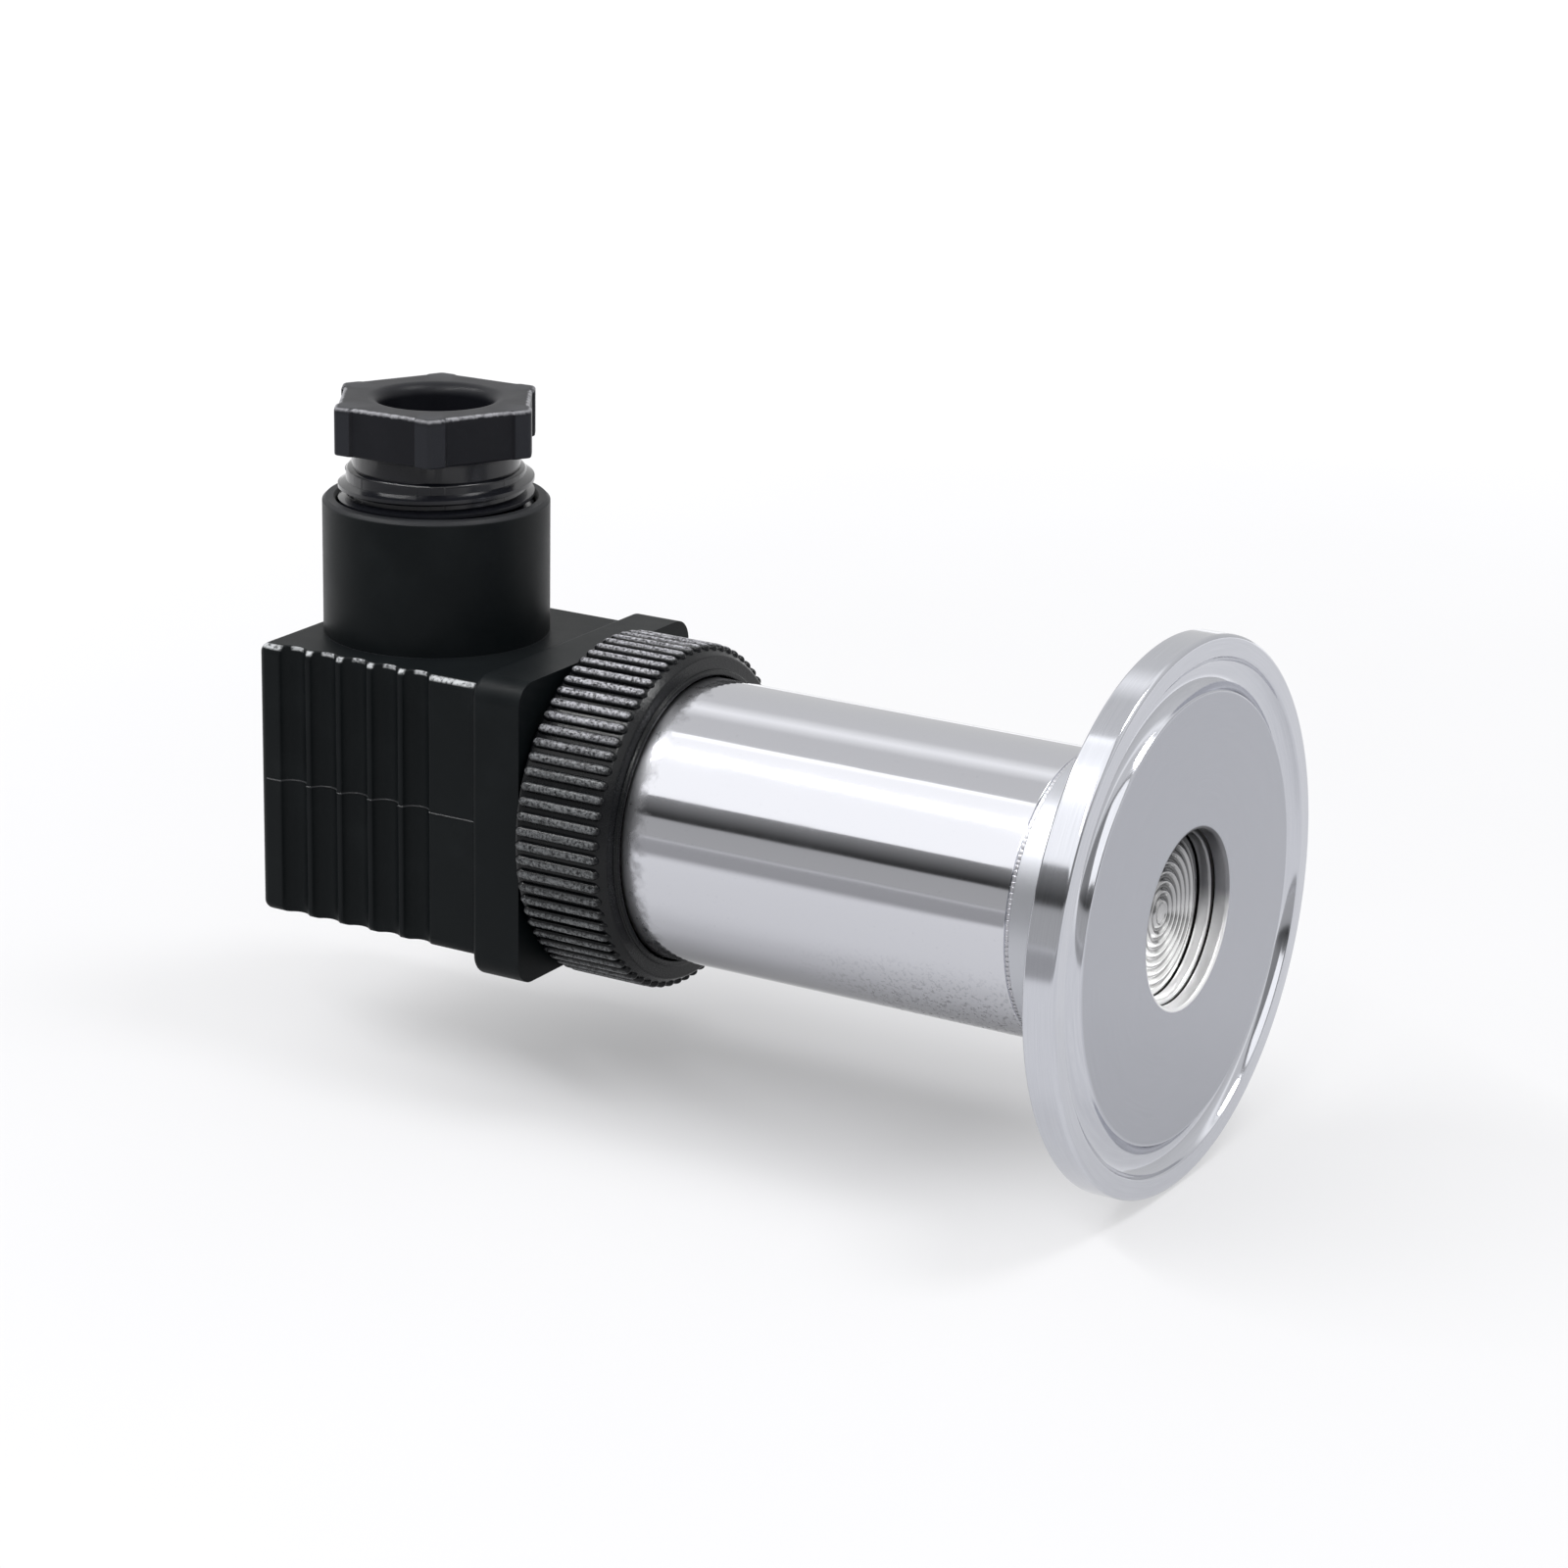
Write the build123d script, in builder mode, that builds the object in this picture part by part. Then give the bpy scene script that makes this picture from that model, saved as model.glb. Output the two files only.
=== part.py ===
from build123d import *
from math import radians, tan
import os

# Compact pressure transmitter with a clamp ferrule and a right-angle plug.
# The tube's axis is X, with +X out of the process end. +Z runs up along the cable gland.
# The origin is the centre of the ferrule's sealing face. Sizes are in millimetres.

# Clearances
SEAT_GAP = 0.05
RUNNING_GAP = 0.08
LOOSE_GAP = 0.2

# Clamp ferrule
FERRULE_OD = 50.5
RIM_WIDTH = 3.0
RIM_CHAMFER = 0.35
RIM_BACK_ANGLE = 20
RIM_BACK_FILLET = 1.6
FERRULE_LENGTH = 11.0
GASKET_GROOVE_D = 43.6
GASKET_GROOVE_WIDTH = 3.0
GASKET_GROOVE_DEPTH = 1.2
PORT_DEPTH = 1.5
PORT_CHAMFER = 0.3
PORT_LIP = 1.5
SPIGOT_LENGTH = 6.0
SPIGOT_WALL = 1.2
WELD_BEVEL = 0.3

# Sensor capsule
CAPSULE_SHOULDER = 0.95
CAPSULE_LENGTH = 12.5
WELD_RING_WIDTH = 2.0
WELD_RING_THICKNESS = 1.25
DIAPHRAGM_THICKNESS = 0.15
RIPPLE_COUNT = 7
RIPPLE_START = 0.9
RIPPLE_MARGIN = 0.58
RIPPLE_HEIGHT = 0.15
OIL_DISH_DEPTH = 0.8
OIL_PASSAGE_D = 2.4
OIL_CHAMBER_D = 9.0
OIL_CHAMBER_DEPTH = 4.0
HEADER_D = 14.0
HEADER_THICKNESS = 2.0
PIN_COUNT = 5
PIN_PITCH = 2.0
PIN_D = 0.5
PIN_TIP = 0.5
PIN_TAIL = 4.5
DIE_SIZE = 1.6
DIE_HEIGHT = 0.8
CAPSULE_SEAL_SECTION = 1.42
CAPSULE_SEAL_GROOVE = 2.0
RETAINING_RING_BORE = 14.8
RETAINING_RING_THICKNESS = 3.0
SPANNER_SLOT_WIDTH = 2.0
SPANNER_SLOT_DEPTH = 1.5

# Tube
TUBE_OD = 26.5
TUBE_WALL = 1.5
TUBE_LENGTH = 43.4
TUBE_COLLAR_HEIGHT = 1.15
TUBE_COLLAR_WIDTH = 1.6

# Electronics
BOARD_WIDTH = 13.6
BOARD_THICKNESS = 1.6
BOARD_LENGTH = 32.2
BOARD_SLOT_DEPTH = 3.0
LEAD_D = 0.9
LEAD_LANDING = 5.0
LEAD_BEND = 1.0

# Union ring
RING_WALL = 1.6
RING_WIDTH = 10.0
RING_LIP = 1.8
RING_BEAD_WIDTH = 0.6
RING_BEAD_HEIGHT = 0.3
RING_FRONT_CHAMFER = 0.7
RING_BACK_CHAMFER = 0.4
RING_THREAD_CLEARANCE = 0.3
RIDGE_COUNT = 72
RIDGE_D = 1.04
SLIP_WASHER_THICKNESS = 0.5

# Connector base
BASE_DRUM_LENGTH = 6.2
BASE_SPIGOT_LENGTH = 4.0
BASE_BOSS_SIZE = 18.0
BASE_BOSS_RADIUS = 3.0
BASE_BOSS_HEIGHT = 3.0
BASE_SEAL_SECTION = 1.4
BASE_SEAL_GROOVE = 1.9
CONTACT_CIRCLE_D = 15.0
BLADE_WIDTH = 6.3
BLADE_THICKNESS = 0.8
BLADE_REACH = 8.5
EARTH_EXTRA = 1.0
BLADE_TIP_CHAMFER = 1.0
BLADE_ROOT = 6.6
BLADE_TAIL_WIDTH = 2.8
BLADE_TAIL_LENGTH = 1.5
INSERT_D = 4.9
INSERT_RESERVE = 0.7
GASKET_BAND = 2.6
GASKET_RADIUS = 5.0
GASKET_THICKNESS = 1.4

# Plug housing
PLUG_GAP = 0.3
SKIRT_INSET = 0.2
SKIRT_LENGTH = 5.2
SKIRT_RADIUS = 2.2
SKIRT_ROUND = 0.5
BLOCK_LENGTH = 24.8
STEP_TOP = 0.8
STEP_BOTTOM = 1.8
STEP_BACK = 1.8
STEP_FRONT = 0.6
BLOCK_ROUND = 0.9
FLUTE_COUNT = 5
FLUTE_PITCH = 3.52
FLUTE_RADIUS = 1.6
FLUTE_DEPTH = 1.1
FLUTE_FIRST = 4.0
FLUTE_CREST_ROUND = 0.18
CAVITY_GAP = 0.15
CAVITY_RADIUS = 1.5
BACK_WALL = 2.2
SCREW_BOSS_D = 11.0
SCREW_BOSS_HEIGHT = 4.2
SCREW_RECESS_D = 7.6
SCREW_RECESS_DEPTH = 3.4
GASKET_RECESS_DEPTH = 1.2

# Gland
GLAND_FROM_BACK = 10.8
COLLAR_WALL = 1.37
COLLAR_HEIGHT = 13.0
COLLAR_CHAMFER = 0.35
COLLAR_MOUTH_CHAMFER = 0.3
GLAND_THREAD_D = 18.6
GROMMET_SEAT_HEIGHT = 1.7
CABLE_PORT_D = 13.0
GROMMET_HEIGHT = 6.2
GROMMET_BORE = 8.0
GROMMET_CHAMFER = 0.8
GLAND_WASHER_THICKNESS = 1.0
GLAND_WASHER_BORE = 10.8
GLAND_GAP_AT_REST = 2.4
NUT_ACROSS_FLATS = 18.3
NUT_HEIGHT = 4.6
NUT_NECK_D = 15.9
NUT_NECK_LENGTH = 2.0
NUT_THREAD_LENGTH = 7.4
NUT_BORE = 10.6
NUT_LEAD_IN = 1.0
NUT_TURN = 1.8
NUT_CORNER_ROUND = 0.35
NUT_EDGE_ROUND = 0.2
NUT_PANEL_EDGE = 1.75
NUT_PANEL_DEPTH = 0.25

# Terminal block and screws
TERMINAL_WALL = 0.75
TERMINAL_RADIUS = 1.4
TERMINAL_LENGTH = 14.0
TERMINAL_FRONT_WALL = 0.5
SOCKET_WIDTH = 7.3
SOCKET_THICKNESS = 2.0
SOCKET_LENGTH = 9.5
CLAMP_WIDTH = 6.0
CLAMP_DEPTH = 5.0
CLAMP_LENGTH = 3.5
TERMINAL_SCREW_D = 2.5
TERMINAL_SCREW_LENGTH = 2.8
TERMINAL_HEAD_D = 4.4
TERMINAL_HEAD_HEIGHT = 1.8
SCREW_D = 3.0
SCREW_ENGAGEMENT = 5.3
SCREW_HEAD_D = 6.0
SCREW_HEAD_HEIGHT = 2.4
SCREW_WASHER_THICKNESS = 0.8
DRIVER_SLOT_WIDTH = 0.8
DRIVER_SLOT_DEPTH = 0.9

# Stations along the tube, from the sealing face back to the plug's rear
weld_x = -FERRULE_LENGTH
spigot_end = weld_x - SPIGOT_LENGTH
weld_ring_x = -PORT_DEPTH
diaphragm_x = weld_ring_x - WELD_RING_THICKNESS
capsule_x = diaphragm_x - DIAPHRAGM_THICKNESS
capsule_back = weld_ring_x - CAPSULE_LENGTH
header_front = capsule_back + HEADER_THICKNESS
chamber_front = header_front + OIL_CHAMBER_DEPTH
pin_end = capsule_back - PIN_TAIL
tube_end = weld_x - TUBE_LENGTH
tube_collar_x = tube_end + TUBE_COLLAR_WIDTH
slip_washer_front = tube_collar_x + SLIP_WASHER_THICKNESS
ring_front = slip_washer_front + RING_LIP
ring_back = ring_front - RING_WIDTH
base_face = tube_end - BASE_DRUM_LENGTH
base_spigot_end = tube_end + BASE_SPIGOT_LENGTH
boss_face = base_face - BASE_BOSS_HEIGHT
board_back = base_spigot_end - BOARD_SLOT_DEPTH + LOOSE_GAP
board_front = board_back + BOARD_LENGTH
skirt_face = base_face - PLUG_GAP
skirt_step = skirt_face - SKIRT_LENGTH
block_back = skirt_step - BLOCK_LENGTH
gasket_recess_x = skirt_face - GASKET_RECESS_DEPTH
cavity_back = block_back + BACK_WALL
gland_x = block_back + GLAND_FROM_BACK
terminal_front = boss_face - LOOSE_GAP
terminal_back = terminal_front - TERMINAL_LENGTH
socket_front = terminal_front - TERMINAL_FRONT_WALL
clamp_front = socket_front - SOCKET_LENGTH
clamp_back = clamp_front - CLAMP_LENGTH
screw_seat = block_back + SCREW_RECESS_DEPTH
screw_head_x = screw_seat - SCREW_WASHER_THICKNESS
screw_end = boss_face + SCREW_ENGAGEMENT

# Radii that pieces share
rim_r = FERRULE_OD / 2
tube_r = TUBE_OD / 2
tube_bore_r = tube_r - TUBE_WALL
spigot_r = tube_bore_r - SEAT_GAP
retaining_pocket_r = spigot_r - SPIGOT_WALL
retaining_r = retaining_pocket_r - SEAT_GAP
pocket_r = retaining_pocket_r - CAPSULE_SHOULDER
capsule_r = pocket_r - SEAT_GAP
port_r = capsule_r - PORT_LIP
weld_ring_bore = capsule_r - WELD_RING_WIDTH
ripple_pitch = (weld_ring_bore - RIPPLE_START - RIPPLE_MARGIN) / RIPPLE_COUNT
tube_collar_r = tube_r + TUBE_COLLAR_HEIGHT
ring_thread_r = tube_collar_r + RING_THREAD_CLEARANCE
ring_r = ring_thread_r + RING_WALL
contact_r = CONTACT_CIRCLE_D / 2
gland_thread_r = GLAND_THREAD_D / 2
gland_bore_r = gland_thread_r + RUNNING_GAP
collar_r = gland_bore_r + COLLAR_WALL
board_top = BOARD_THICKNESS / 2
lead_height = board_top + LEAD_D / 2 + SEAT_GAP

# Sizes of the square connector, from its contacts and boss outwards
gasket_size = BASE_BOSS_SIZE + 2 * LOOSE_GAP + 2 * GASKET_BAND
terminal_size = 2 * (contact_r + CLAMP_DEPTH / 2 + TERMINAL_WALL)
cavity_size = terminal_size + 2 * CAVITY_GAP
skirt_half = ring_thread_r - SKIRT_INSET
block_top = skirt_half - STEP_TOP
block_bottom = skirt_half - STEP_BOTTOM
block_side = skirt_half - STEP_BACK
block_front = skirt_half - STEP_FRONT


def across(x):
    """The plane square to the tube at station x."""
    return Plane.YZ.offset(x)


# Clamp ferrule: rim, tapered back, neck, welding spigot and stepped bore
groove_in = GASKET_GROOVE_D / 2 - GASKET_GROOVE_WIDTH / 2
groove_out = GASKET_GROOVE_D / 2 + GASKET_GROOVE_WIDTH / 2
taper_end = -RIM_WIDTH - (rim_r - tube_r) * tan(radians(RIM_BACK_ANGLE))
with BuildPart() as ferrule:
    with BuildSketch(Plane.XZ):
        with BuildLine():
            ThreePointArc((0, groove_in), (-GASKET_GROOVE_DEPTH, GASKET_GROOVE_D / 2), (0, groove_out))
            Polyline(
                (0, groove_out),
                (0, rim_r - RIM_CHAMFER),
                (-RIM_CHAMFER, rim_r),
                (-RIM_WIDTH, rim_r),
            )
            FilletPolyline(
                (-RIM_WIDTH, rim_r),
                (taper_end, tube_r),
                (weld_x + WELD_BEVEL, tube_r),
                radius=RIM_BACK_FILLET,
            )
            Polyline(
                (weld_x + WELD_BEVEL, tube_r),
                (weld_x, tube_r - WELD_BEVEL),
                (weld_x, spigot_r),
                (spigot_end, spigot_r),
                (spigot_end, retaining_pocket_r),
                (capsule_back, retaining_pocket_r),
                (capsule_back, pocket_r),
                (weld_ring_x, pocket_r),
                (weld_ring_x, port_r),
                (-PORT_CHAMFER, port_r),
                (0, port_r + PORT_CHAMFER),
                (0, groove_in),
            )
        make_face()
    revolve(axis=Axis.X)

# Polished tube, welded to the ferrule's neck, with the union ring's collar on its end
with BuildPart() as housing_tube:
    with BuildSketch(Plane.XZ):
        with BuildLine():
            Polyline(
                (weld_x, tube_bore_r),
                (weld_x, tube_r - WELD_BEVEL),
                (weld_x - WELD_BEVEL, tube_r),
                (tube_collar_x, tube_r),
                (tube_collar_x, tube_collar_r),
                (tube_end, tube_collar_r),
                (tube_end, tube_bore_r),
                close=True,
            )
        make_face()
    revolve(axis=Axis.X)

# Ring that is welded over the diaphragm's edge
with BuildPart() as weld_ring:
    with BuildSketch(across(diaphragm_x)):
        Circle(capsule_r)
        Circle(weld_ring_bore, mode=Mode.SUBTRACT)
    extrude(amount=WELD_RING_THICKNESS)


def draw_ripples(x):
    """The diaphragm's half waves at station x, from its flat centre out to its flat edge."""
    half_wave = ripple_pitch / 2
    Line((x, 0), (x, RIPPLE_START))
    for i in range(2 * RIPPLE_COUNT):
        inner = RIPPLE_START + i * half_wave
        crest = x + RIPPLE_HEIGHT * (1 - 2 * (i % 2))
        ThreePointArc((x, inner), (crest, inner + half_wave / 2), (x, inner + half_wave))
    Line((x, RIPPLE_START + 2 * RIPPLE_COUNT * half_wave), (x, capsule_r))


# Corrugated isolating diaphragm
with BuildPart() as diaphragm:
    with BuildSketch(Plane.XZ):
        with BuildLine():
            draw_ripples(diaphragm_x)
            draw_ripples(capsule_x)
            Line((diaphragm_x, 0), (capsule_x, 0))
            Line((diaphragm_x, capsule_r), (capsule_x, capsule_r))
        make_face()
    revolve(axis=Axis.X)

# Oil filled capsule body, with the dish under the diaphragm, the chip's chamber and a seal groove
seal_x = (capsule_x + capsule_back) / 2
seal_root = pocket_r - CAPSULE_SEAL_SECTION - SEAT_GAP
with BuildPart() as sensor_capsule:
    with BuildSketch(Plane.XZ):
        with BuildLine():
            Polyline(
                (capsule_x, weld_ring_bore),
                (capsule_x, capsule_r),
                (seal_x + CAPSULE_SEAL_GROOVE / 2, capsule_r),
                (seal_x + CAPSULE_SEAL_GROOVE / 2, seal_root),
                (seal_x - CAPSULE_SEAL_GROOVE / 2, seal_root),
                (seal_x - CAPSULE_SEAL_GROOVE / 2, capsule_r),
                (capsule_back, capsule_r),
                (capsule_back, HEADER_D / 2),
                (header_front, HEADER_D / 2),
                (header_front, OIL_CHAMBER_D / 2),
                (chamber_front, OIL_CHAMBER_D / 2),
                (chamber_front, OIL_PASSAGE_D / 2),
                (capsule_x - OIL_DISH_DEPTH, OIL_PASSAGE_D / 2),
                (capsule_x - OIL_DISH_DEPTH, weld_ring_bore - OIL_DISH_DEPTH),
                close=True,
            )
        make_face()
    revolve(axis=Axis.X)

# Header disc that closes the capsule, with its row of pin holes
with BuildPart() as capsule_header:
    with BuildSketch(across(capsule_back)):
        Circle(HEADER_D / 2 - SEAT_GAP)
        with Locations((0, lead_height)):
            with GridLocations(PIN_PITCH, 1, PIN_COUNT, 1):
                Circle(PIN_D / 2 + SEAT_GAP, mode=Mode.SUBTRACT)
    extrude(amount=HEADER_THICKNESS)

with BuildPart() as header_pins:
    with BuildSketch(across(pin_end)):
        with Locations((0, lead_height)):
            with GridLocations(PIN_PITCH, 1, PIN_COUNT, 1):
                Circle(PIN_D / 2)
    extrude(amount=PIN_TAIL + HEADER_THICKNESS + PIN_TIP)

with BuildPart() as sensing_die:
    with BuildSketch(across(header_front)):
        Rectangle(DIE_SIZE, DIE_SIZE)
    extrude(amount=DIE_HEIGHT)

with BuildPart() as capsule_o_ring:
    with BuildSketch(Plane.XZ):
        with Locations((seal_x, (seal_root + pocket_r) / 2)):
            Circle(CAPSULE_SEAL_SECTION / 2)
    revolve(axis=Axis.X)

# Threaded ring that holds the capsule in, with two spanner slots
with BuildPart() as retaining_ring:
    with BuildSketch(across(capsule_back - RETAINING_RING_THICKNESS)):
        Circle(retaining_r)
        Circle(RETAINING_RING_BORE / 2, mode=Mode.SUBTRACT)
    extrude(amount=RETAINING_RING_THICKNESS)
    with BuildSketch(across(capsule_back - RETAINING_RING_THICKNESS)):
        Rectangle(2 * retaining_r, SPANNER_SLOT_WIDTH)
    extrude(amount=SPANNER_SLOT_DEPTH, mode=Mode.SUBTRACT)

# Amplifier board along the tube's axis, held in the connector base's slot
with BuildPart() as circuit_board:
    with BuildSketch(across(board_back)):
        Rectangle(BOARD_WIDTH, BOARD_THICKNESS)
    extrude(amount=BOARD_LENGTH)

# Chips and capacitors: distance from the board's front end, side, length, width, height
TOP_PARTS = [
    (11.0, 0.0, 6.0, 5.0, 1.6),
    (11.5, 4.8, 3.2, 2.5, 1.9),
    (11.5, -4.8, 3.2, 2.5, 1.9),
    (17.0, 2.4, 3.0, 3.0, 1.2),
    (17.0, -2.4, 3.0, 3.0, 1.2),
]
BOTTOM_PARTS = [
    (8.0, 3.2, 2.0, 1.2, 0.6),
    (8.0, 0.0, 2.0, 1.2, 0.6),
    (8.0, -3.2, 2.0, 1.2, 0.6),
    (14.0, 0.0, 7.0, 4.4, 1.5),
]
with BuildPart() as board_components:
    for along, side, length, width, height in TOP_PARTS:
        with Locations((board_front - along, side, board_top)):
            Box(length, width, height, align=(Align.CENTER, Align.CENTER, Align.MIN))
    for along, side, length, width, height in BOTTOM_PARTS:
        with Locations((board_front - along, side, -board_top)):
            Box(length, width, height, align=(Align.CENTER, Align.CENTER, Align.MAX))

# Leads from the header pins, laid straight on the board's top
with BuildPart() as sensor_leads:
    with BuildSketch(across(board_front - LEAD_LANDING)):
        with Locations((0, lead_height)):
            with GridLocations(PIN_PITCH, 1, PIN_COUNT, 1):
                Circle(LEAD_D / 2)
    extrude(amount=pin_end - board_front + LEAD_LANDING)

# Leads from the contact blades' tails down to the board
tail_end = base_spigot_end + BLADE_TAIL_LENGTH
lead_landing_x = tail_end + 3 * LEAD_LANDING / 2
side_landing = BOARD_WIDTH / 4
lead_routes = []
for height in (1, -1):
    lead_routes.append([
        (tail_end, 0, height * contact_r),
        (tail_end + LEAD_LANDING / 2, 0, height * contact_r),
        (tail_end + LEAD_LANDING, 0, height * lead_height),
        (lead_landing_x, 0, height * lead_height),
    ])
for side in (1, -1):
    lead_routes.append([
        (tail_end, side * contact_r, 0),
        (tail_end + LEAD_LANDING / 3, side * contact_r, 0),
        (tail_end + 2 * LEAD_LANDING / 3, side * (contact_r - BLADE_THICKNESS / 2), 2 * lead_height),
        (tail_end + 7 * LEAD_LANDING / 6, side * side_landing, lead_height),
        (lead_landing_x, side * side_landing, lead_height),
    ])
with BuildPart() as connector_leads:
    for route in lead_routes:
        with BuildLine() as lead_path:
            FilletPolyline(*route, radius=LEAD_BEND)
        with BuildSketch(Plane(origin=route[0], z_dir=(1, 0, 0))):
            Circle(LEAD_D / 2)
        sweep(path=lead_path.line)

# Connector base: threaded drum, spigot in the tube with a seal groove, and the square boss
base_seal_x = (tube_end + base_spigot_end) / 2
base_seal_root = tube_bore_r - BASE_SEAL_SECTION - SEAT_GAP
insert_length = SCREW_ENGAGEMENT + INSERT_RESERVE
with BuildPart() as connector_base:
    with BuildSketch(Plane.XZ):
        with BuildLine():
            Polyline(
                (base_face, 0),
                (base_face, ring_thread_r),
                (tube_end, ring_thread_r),
                (tube_end, spigot_r),
                (base_seal_x - BASE_SEAL_GROOVE / 2, spigot_r),
                (base_seal_x - BASE_SEAL_GROOVE / 2, base_seal_root),
                (base_seal_x + BASE_SEAL_GROOVE / 2, base_seal_root),
                (base_seal_x + BASE_SEAL_GROOVE / 2, spigot_r),
                (base_spigot_end, spigot_r),
                (base_spigot_end, 0),
                close=True,
            )
        make_face()
    revolve(axis=Axis.X)
    with BuildSketch(across(boss_face)):
        RectangleRounded(BASE_BOSS_SIZE, BASE_BOSS_SIZE, BASE_BOSS_RADIUS)
    extrude(amount=BASE_BOSS_HEIGHT)
    with BuildSketch(across(boss_face)):
        Circle(INSERT_D / 2 + SEAT_GAP)
    extrude(amount=insert_length + LOOSE_GAP, mode=Mode.SUBTRACT)
    with BuildSketch(across(boss_face)):
        with PolarLocations(contact_r, 4):
            Rectangle(BLADE_THICKNESS + 2 * SEAT_GAP, BLADE_WIDTH + 2 * SEAT_GAP)
    extrude(amount=BLADE_ROOT + SEAT_GAP, mode=Mode.SUBTRACT)
    with BuildSketch(across(boss_face)):
        with PolarLocations(contact_r, 4):
            Rectangle(BLADE_THICKNESS + 2 * SEAT_GAP, BLADE_TAIL_WIDTH + 2 * SEAT_GAP)
    extrude(amount=base_spigot_end - boss_face, mode=Mode.SUBTRACT)
    with BuildSketch(across(base_spigot_end - BOARD_SLOT_DEPTH)):
        Rectangle(BOARD_WIDTH + 2 * SEAT_GAP, BOARD_THICKNESS + 2 * SEAT_GAP)
    extrude(amount=BOARD_SLOT_DEPTH, mode=Mode.SUBTRACT)

with BuildPart() as base_o_ring:
    with BuildSketch(Plane.XZ):
        with Locations((base_seal_x, (base_seal_root + tube_bore_r) / 2)):
            Circle(BASE_SEAL_SECTION / 2)
    revolve(axis=Axis.X)

# Brass insert with the centre screw's thread
with BuildPart() as thread_insert:
    with BuildSketch(across(boss_face)):
        Circle(INSERT_D / 2)
        Circle(SCREW_D / 2 + RUNNING_GAP, mode=Mode.SUBTRACT)
    extrude(amount=insert_length)

# Flat contact blades on three sides, and the longer earth blade on the fourth
with BuildPart() as contact_blades:
    with BuildSketch(across(boss_face - BLADE_REACH)):
        with PolarLocations(contact_r, 3, 90, 180, endpoint=True):
            Rectangle(BLADE_THICKNESS, BLADE_WIDTH)
    extrude(amount=BLADE_REACH + BLADE_ROOT)
    blade_tips = contact_blades.faces().sort_by(Axis.X)[:3]
    tip_corners = blade_tips.edges().filter_by(lambda edge: edge.length < 2 * BLADE_THICKNESS)
    chamfer(tip_corners, length=BLADE_TIP_CHAMFER)
    with BuildSketch(across(boss_face + BLADE_ROOT)):
        with PolarLocations(contact_r, 3, 90, 180, endpoint=True):
            Rectangle(BLADE_THICKNESS, BLADE_TAIL_WIDTH)
    extrude(amount=tail_end - boss_face - BLADE_ROOT)

with BuildPart() as earth_blade:
    with BuildSketch(across(boss_face - BLADE_REACH - EARTH_EXTRA)):
        with Locations((contact_r, 0)):
            Rectangle(BLADE_THICKNESS, BLADE_WIDTH)
    extrude(amount=BLADE_REACH + EARTH_EXTRA + BLADE_ROOT)
    earth_tip = earth_blade.faces().sort_by(Axis.X)[0]
    tip_corners = earth_tip.edges().filter_by(lambda edge: edge.length < 2 * BLADE_THICKNESS)
    chamfer(tip_corners, length=BLADE_TIP_CHAMFER)
    with BuildSketch(across(boss_face + BLADE_ROOT)):
        with Locations((contact_r, 0)):
            Rectangle(BLADE_THICKNESS, BLADE_TAIL_WIDTH)
    extrude(amount=tail_end - boss_face - BLADE_ROOT)

# Flat seal between the base and the plug's skirt, cut out round the boss
with BuildPart() as flat_gasket:
    with BuildSketch(across(base_face - GASKET_THICKNESS)):
        RectangleRounded(gasket_size, gasket_size, GASKET_RADIUS)
        RectangleRounded(
            BASE_BOSS_SIZE + 2 * LOOSE_GAP,
            BASE_BOSS_SIZE + 2 * LOOSE_GAP,
            BASE_BOSS_RADIUS + LOOSE_GAP,
            mode=Mode.SUBTRACT,
        )
    extrude(amount=GASKET_THICKNESS)

# Washer between the tube's collar and the union ring's lip
with BuildPart() as slip_washer:
    with BuildSketch(across(tube_collar_x)):
        Circle(tube_collar_r)
        Circle(tube_r + LOOSE_GAP, mode=Mode.SUBTRACT)
    extrude(amount=SLIP_WASHER_THICKNESS)

# Union ring: ridged outside, threaded bore, and a beaded lip that closes on the tube
ridge_r = RIDGE_D / 2
ring_bore_r = ring_thread_r + RUNNING_GAP
lip_bore_r = tube_r + LOOSE_GAP + SEAT_GAP
ring_shoulder = ring_front - RING_BEAD_HEIGHT
with BuildPart() as knurled_ring:
    with BuildSketch(across(ring_back)):
        Circle(ring_r - ridge_r)
        with PolarLocations(ring_r - ridge_r, RIDGE_COUNT):
            Circle(ridge_r)
    extrude(amount=RING_WIDTH - RING_BEAD_HEIGHT)
    with BuildSketch(across(ring_shoulder)):
        Circle(lip_bore_r + RING_BEAD_WIDTH)
    extrude(amount=RING_BEAD_HEIGHT)
    with BuildSketch(Plane.XZ):
        with BuildLine():
            Polyline(
                (ring_shoulder - RING_FRONT_CHAMFER, ring_r),
                (ring_shoulder, ring_r - RING_FRONT_CHAMFER),
                (ring_shoulder, ring_r),
                close=True,
            )
        make_face()
        with BuildLine():
            Polyline(
                (ring_back + RING_BACK_CHAMFER, ring_r),
                (ring_back, ring_r - RING_BACK_CHAMFER),
                (ring_back, ring_r),
                close=True,
            )
        make_face()
    revolve(axis=Axis.X, mode=Mode.SUBTRACT)
    with BuildSketch(across(ring_back)):
        Circle(lip_bore_r)
    extrude(amount=RING_WIDTH, mode=Mode.SUBTRACT)
    with BuildSketch(across(ring_back)):
        Circle(ring_bore_r)
    extrude(amount=RING_WIDTH - RING_LIP, mode=Mode.SUBTRACT)

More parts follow.
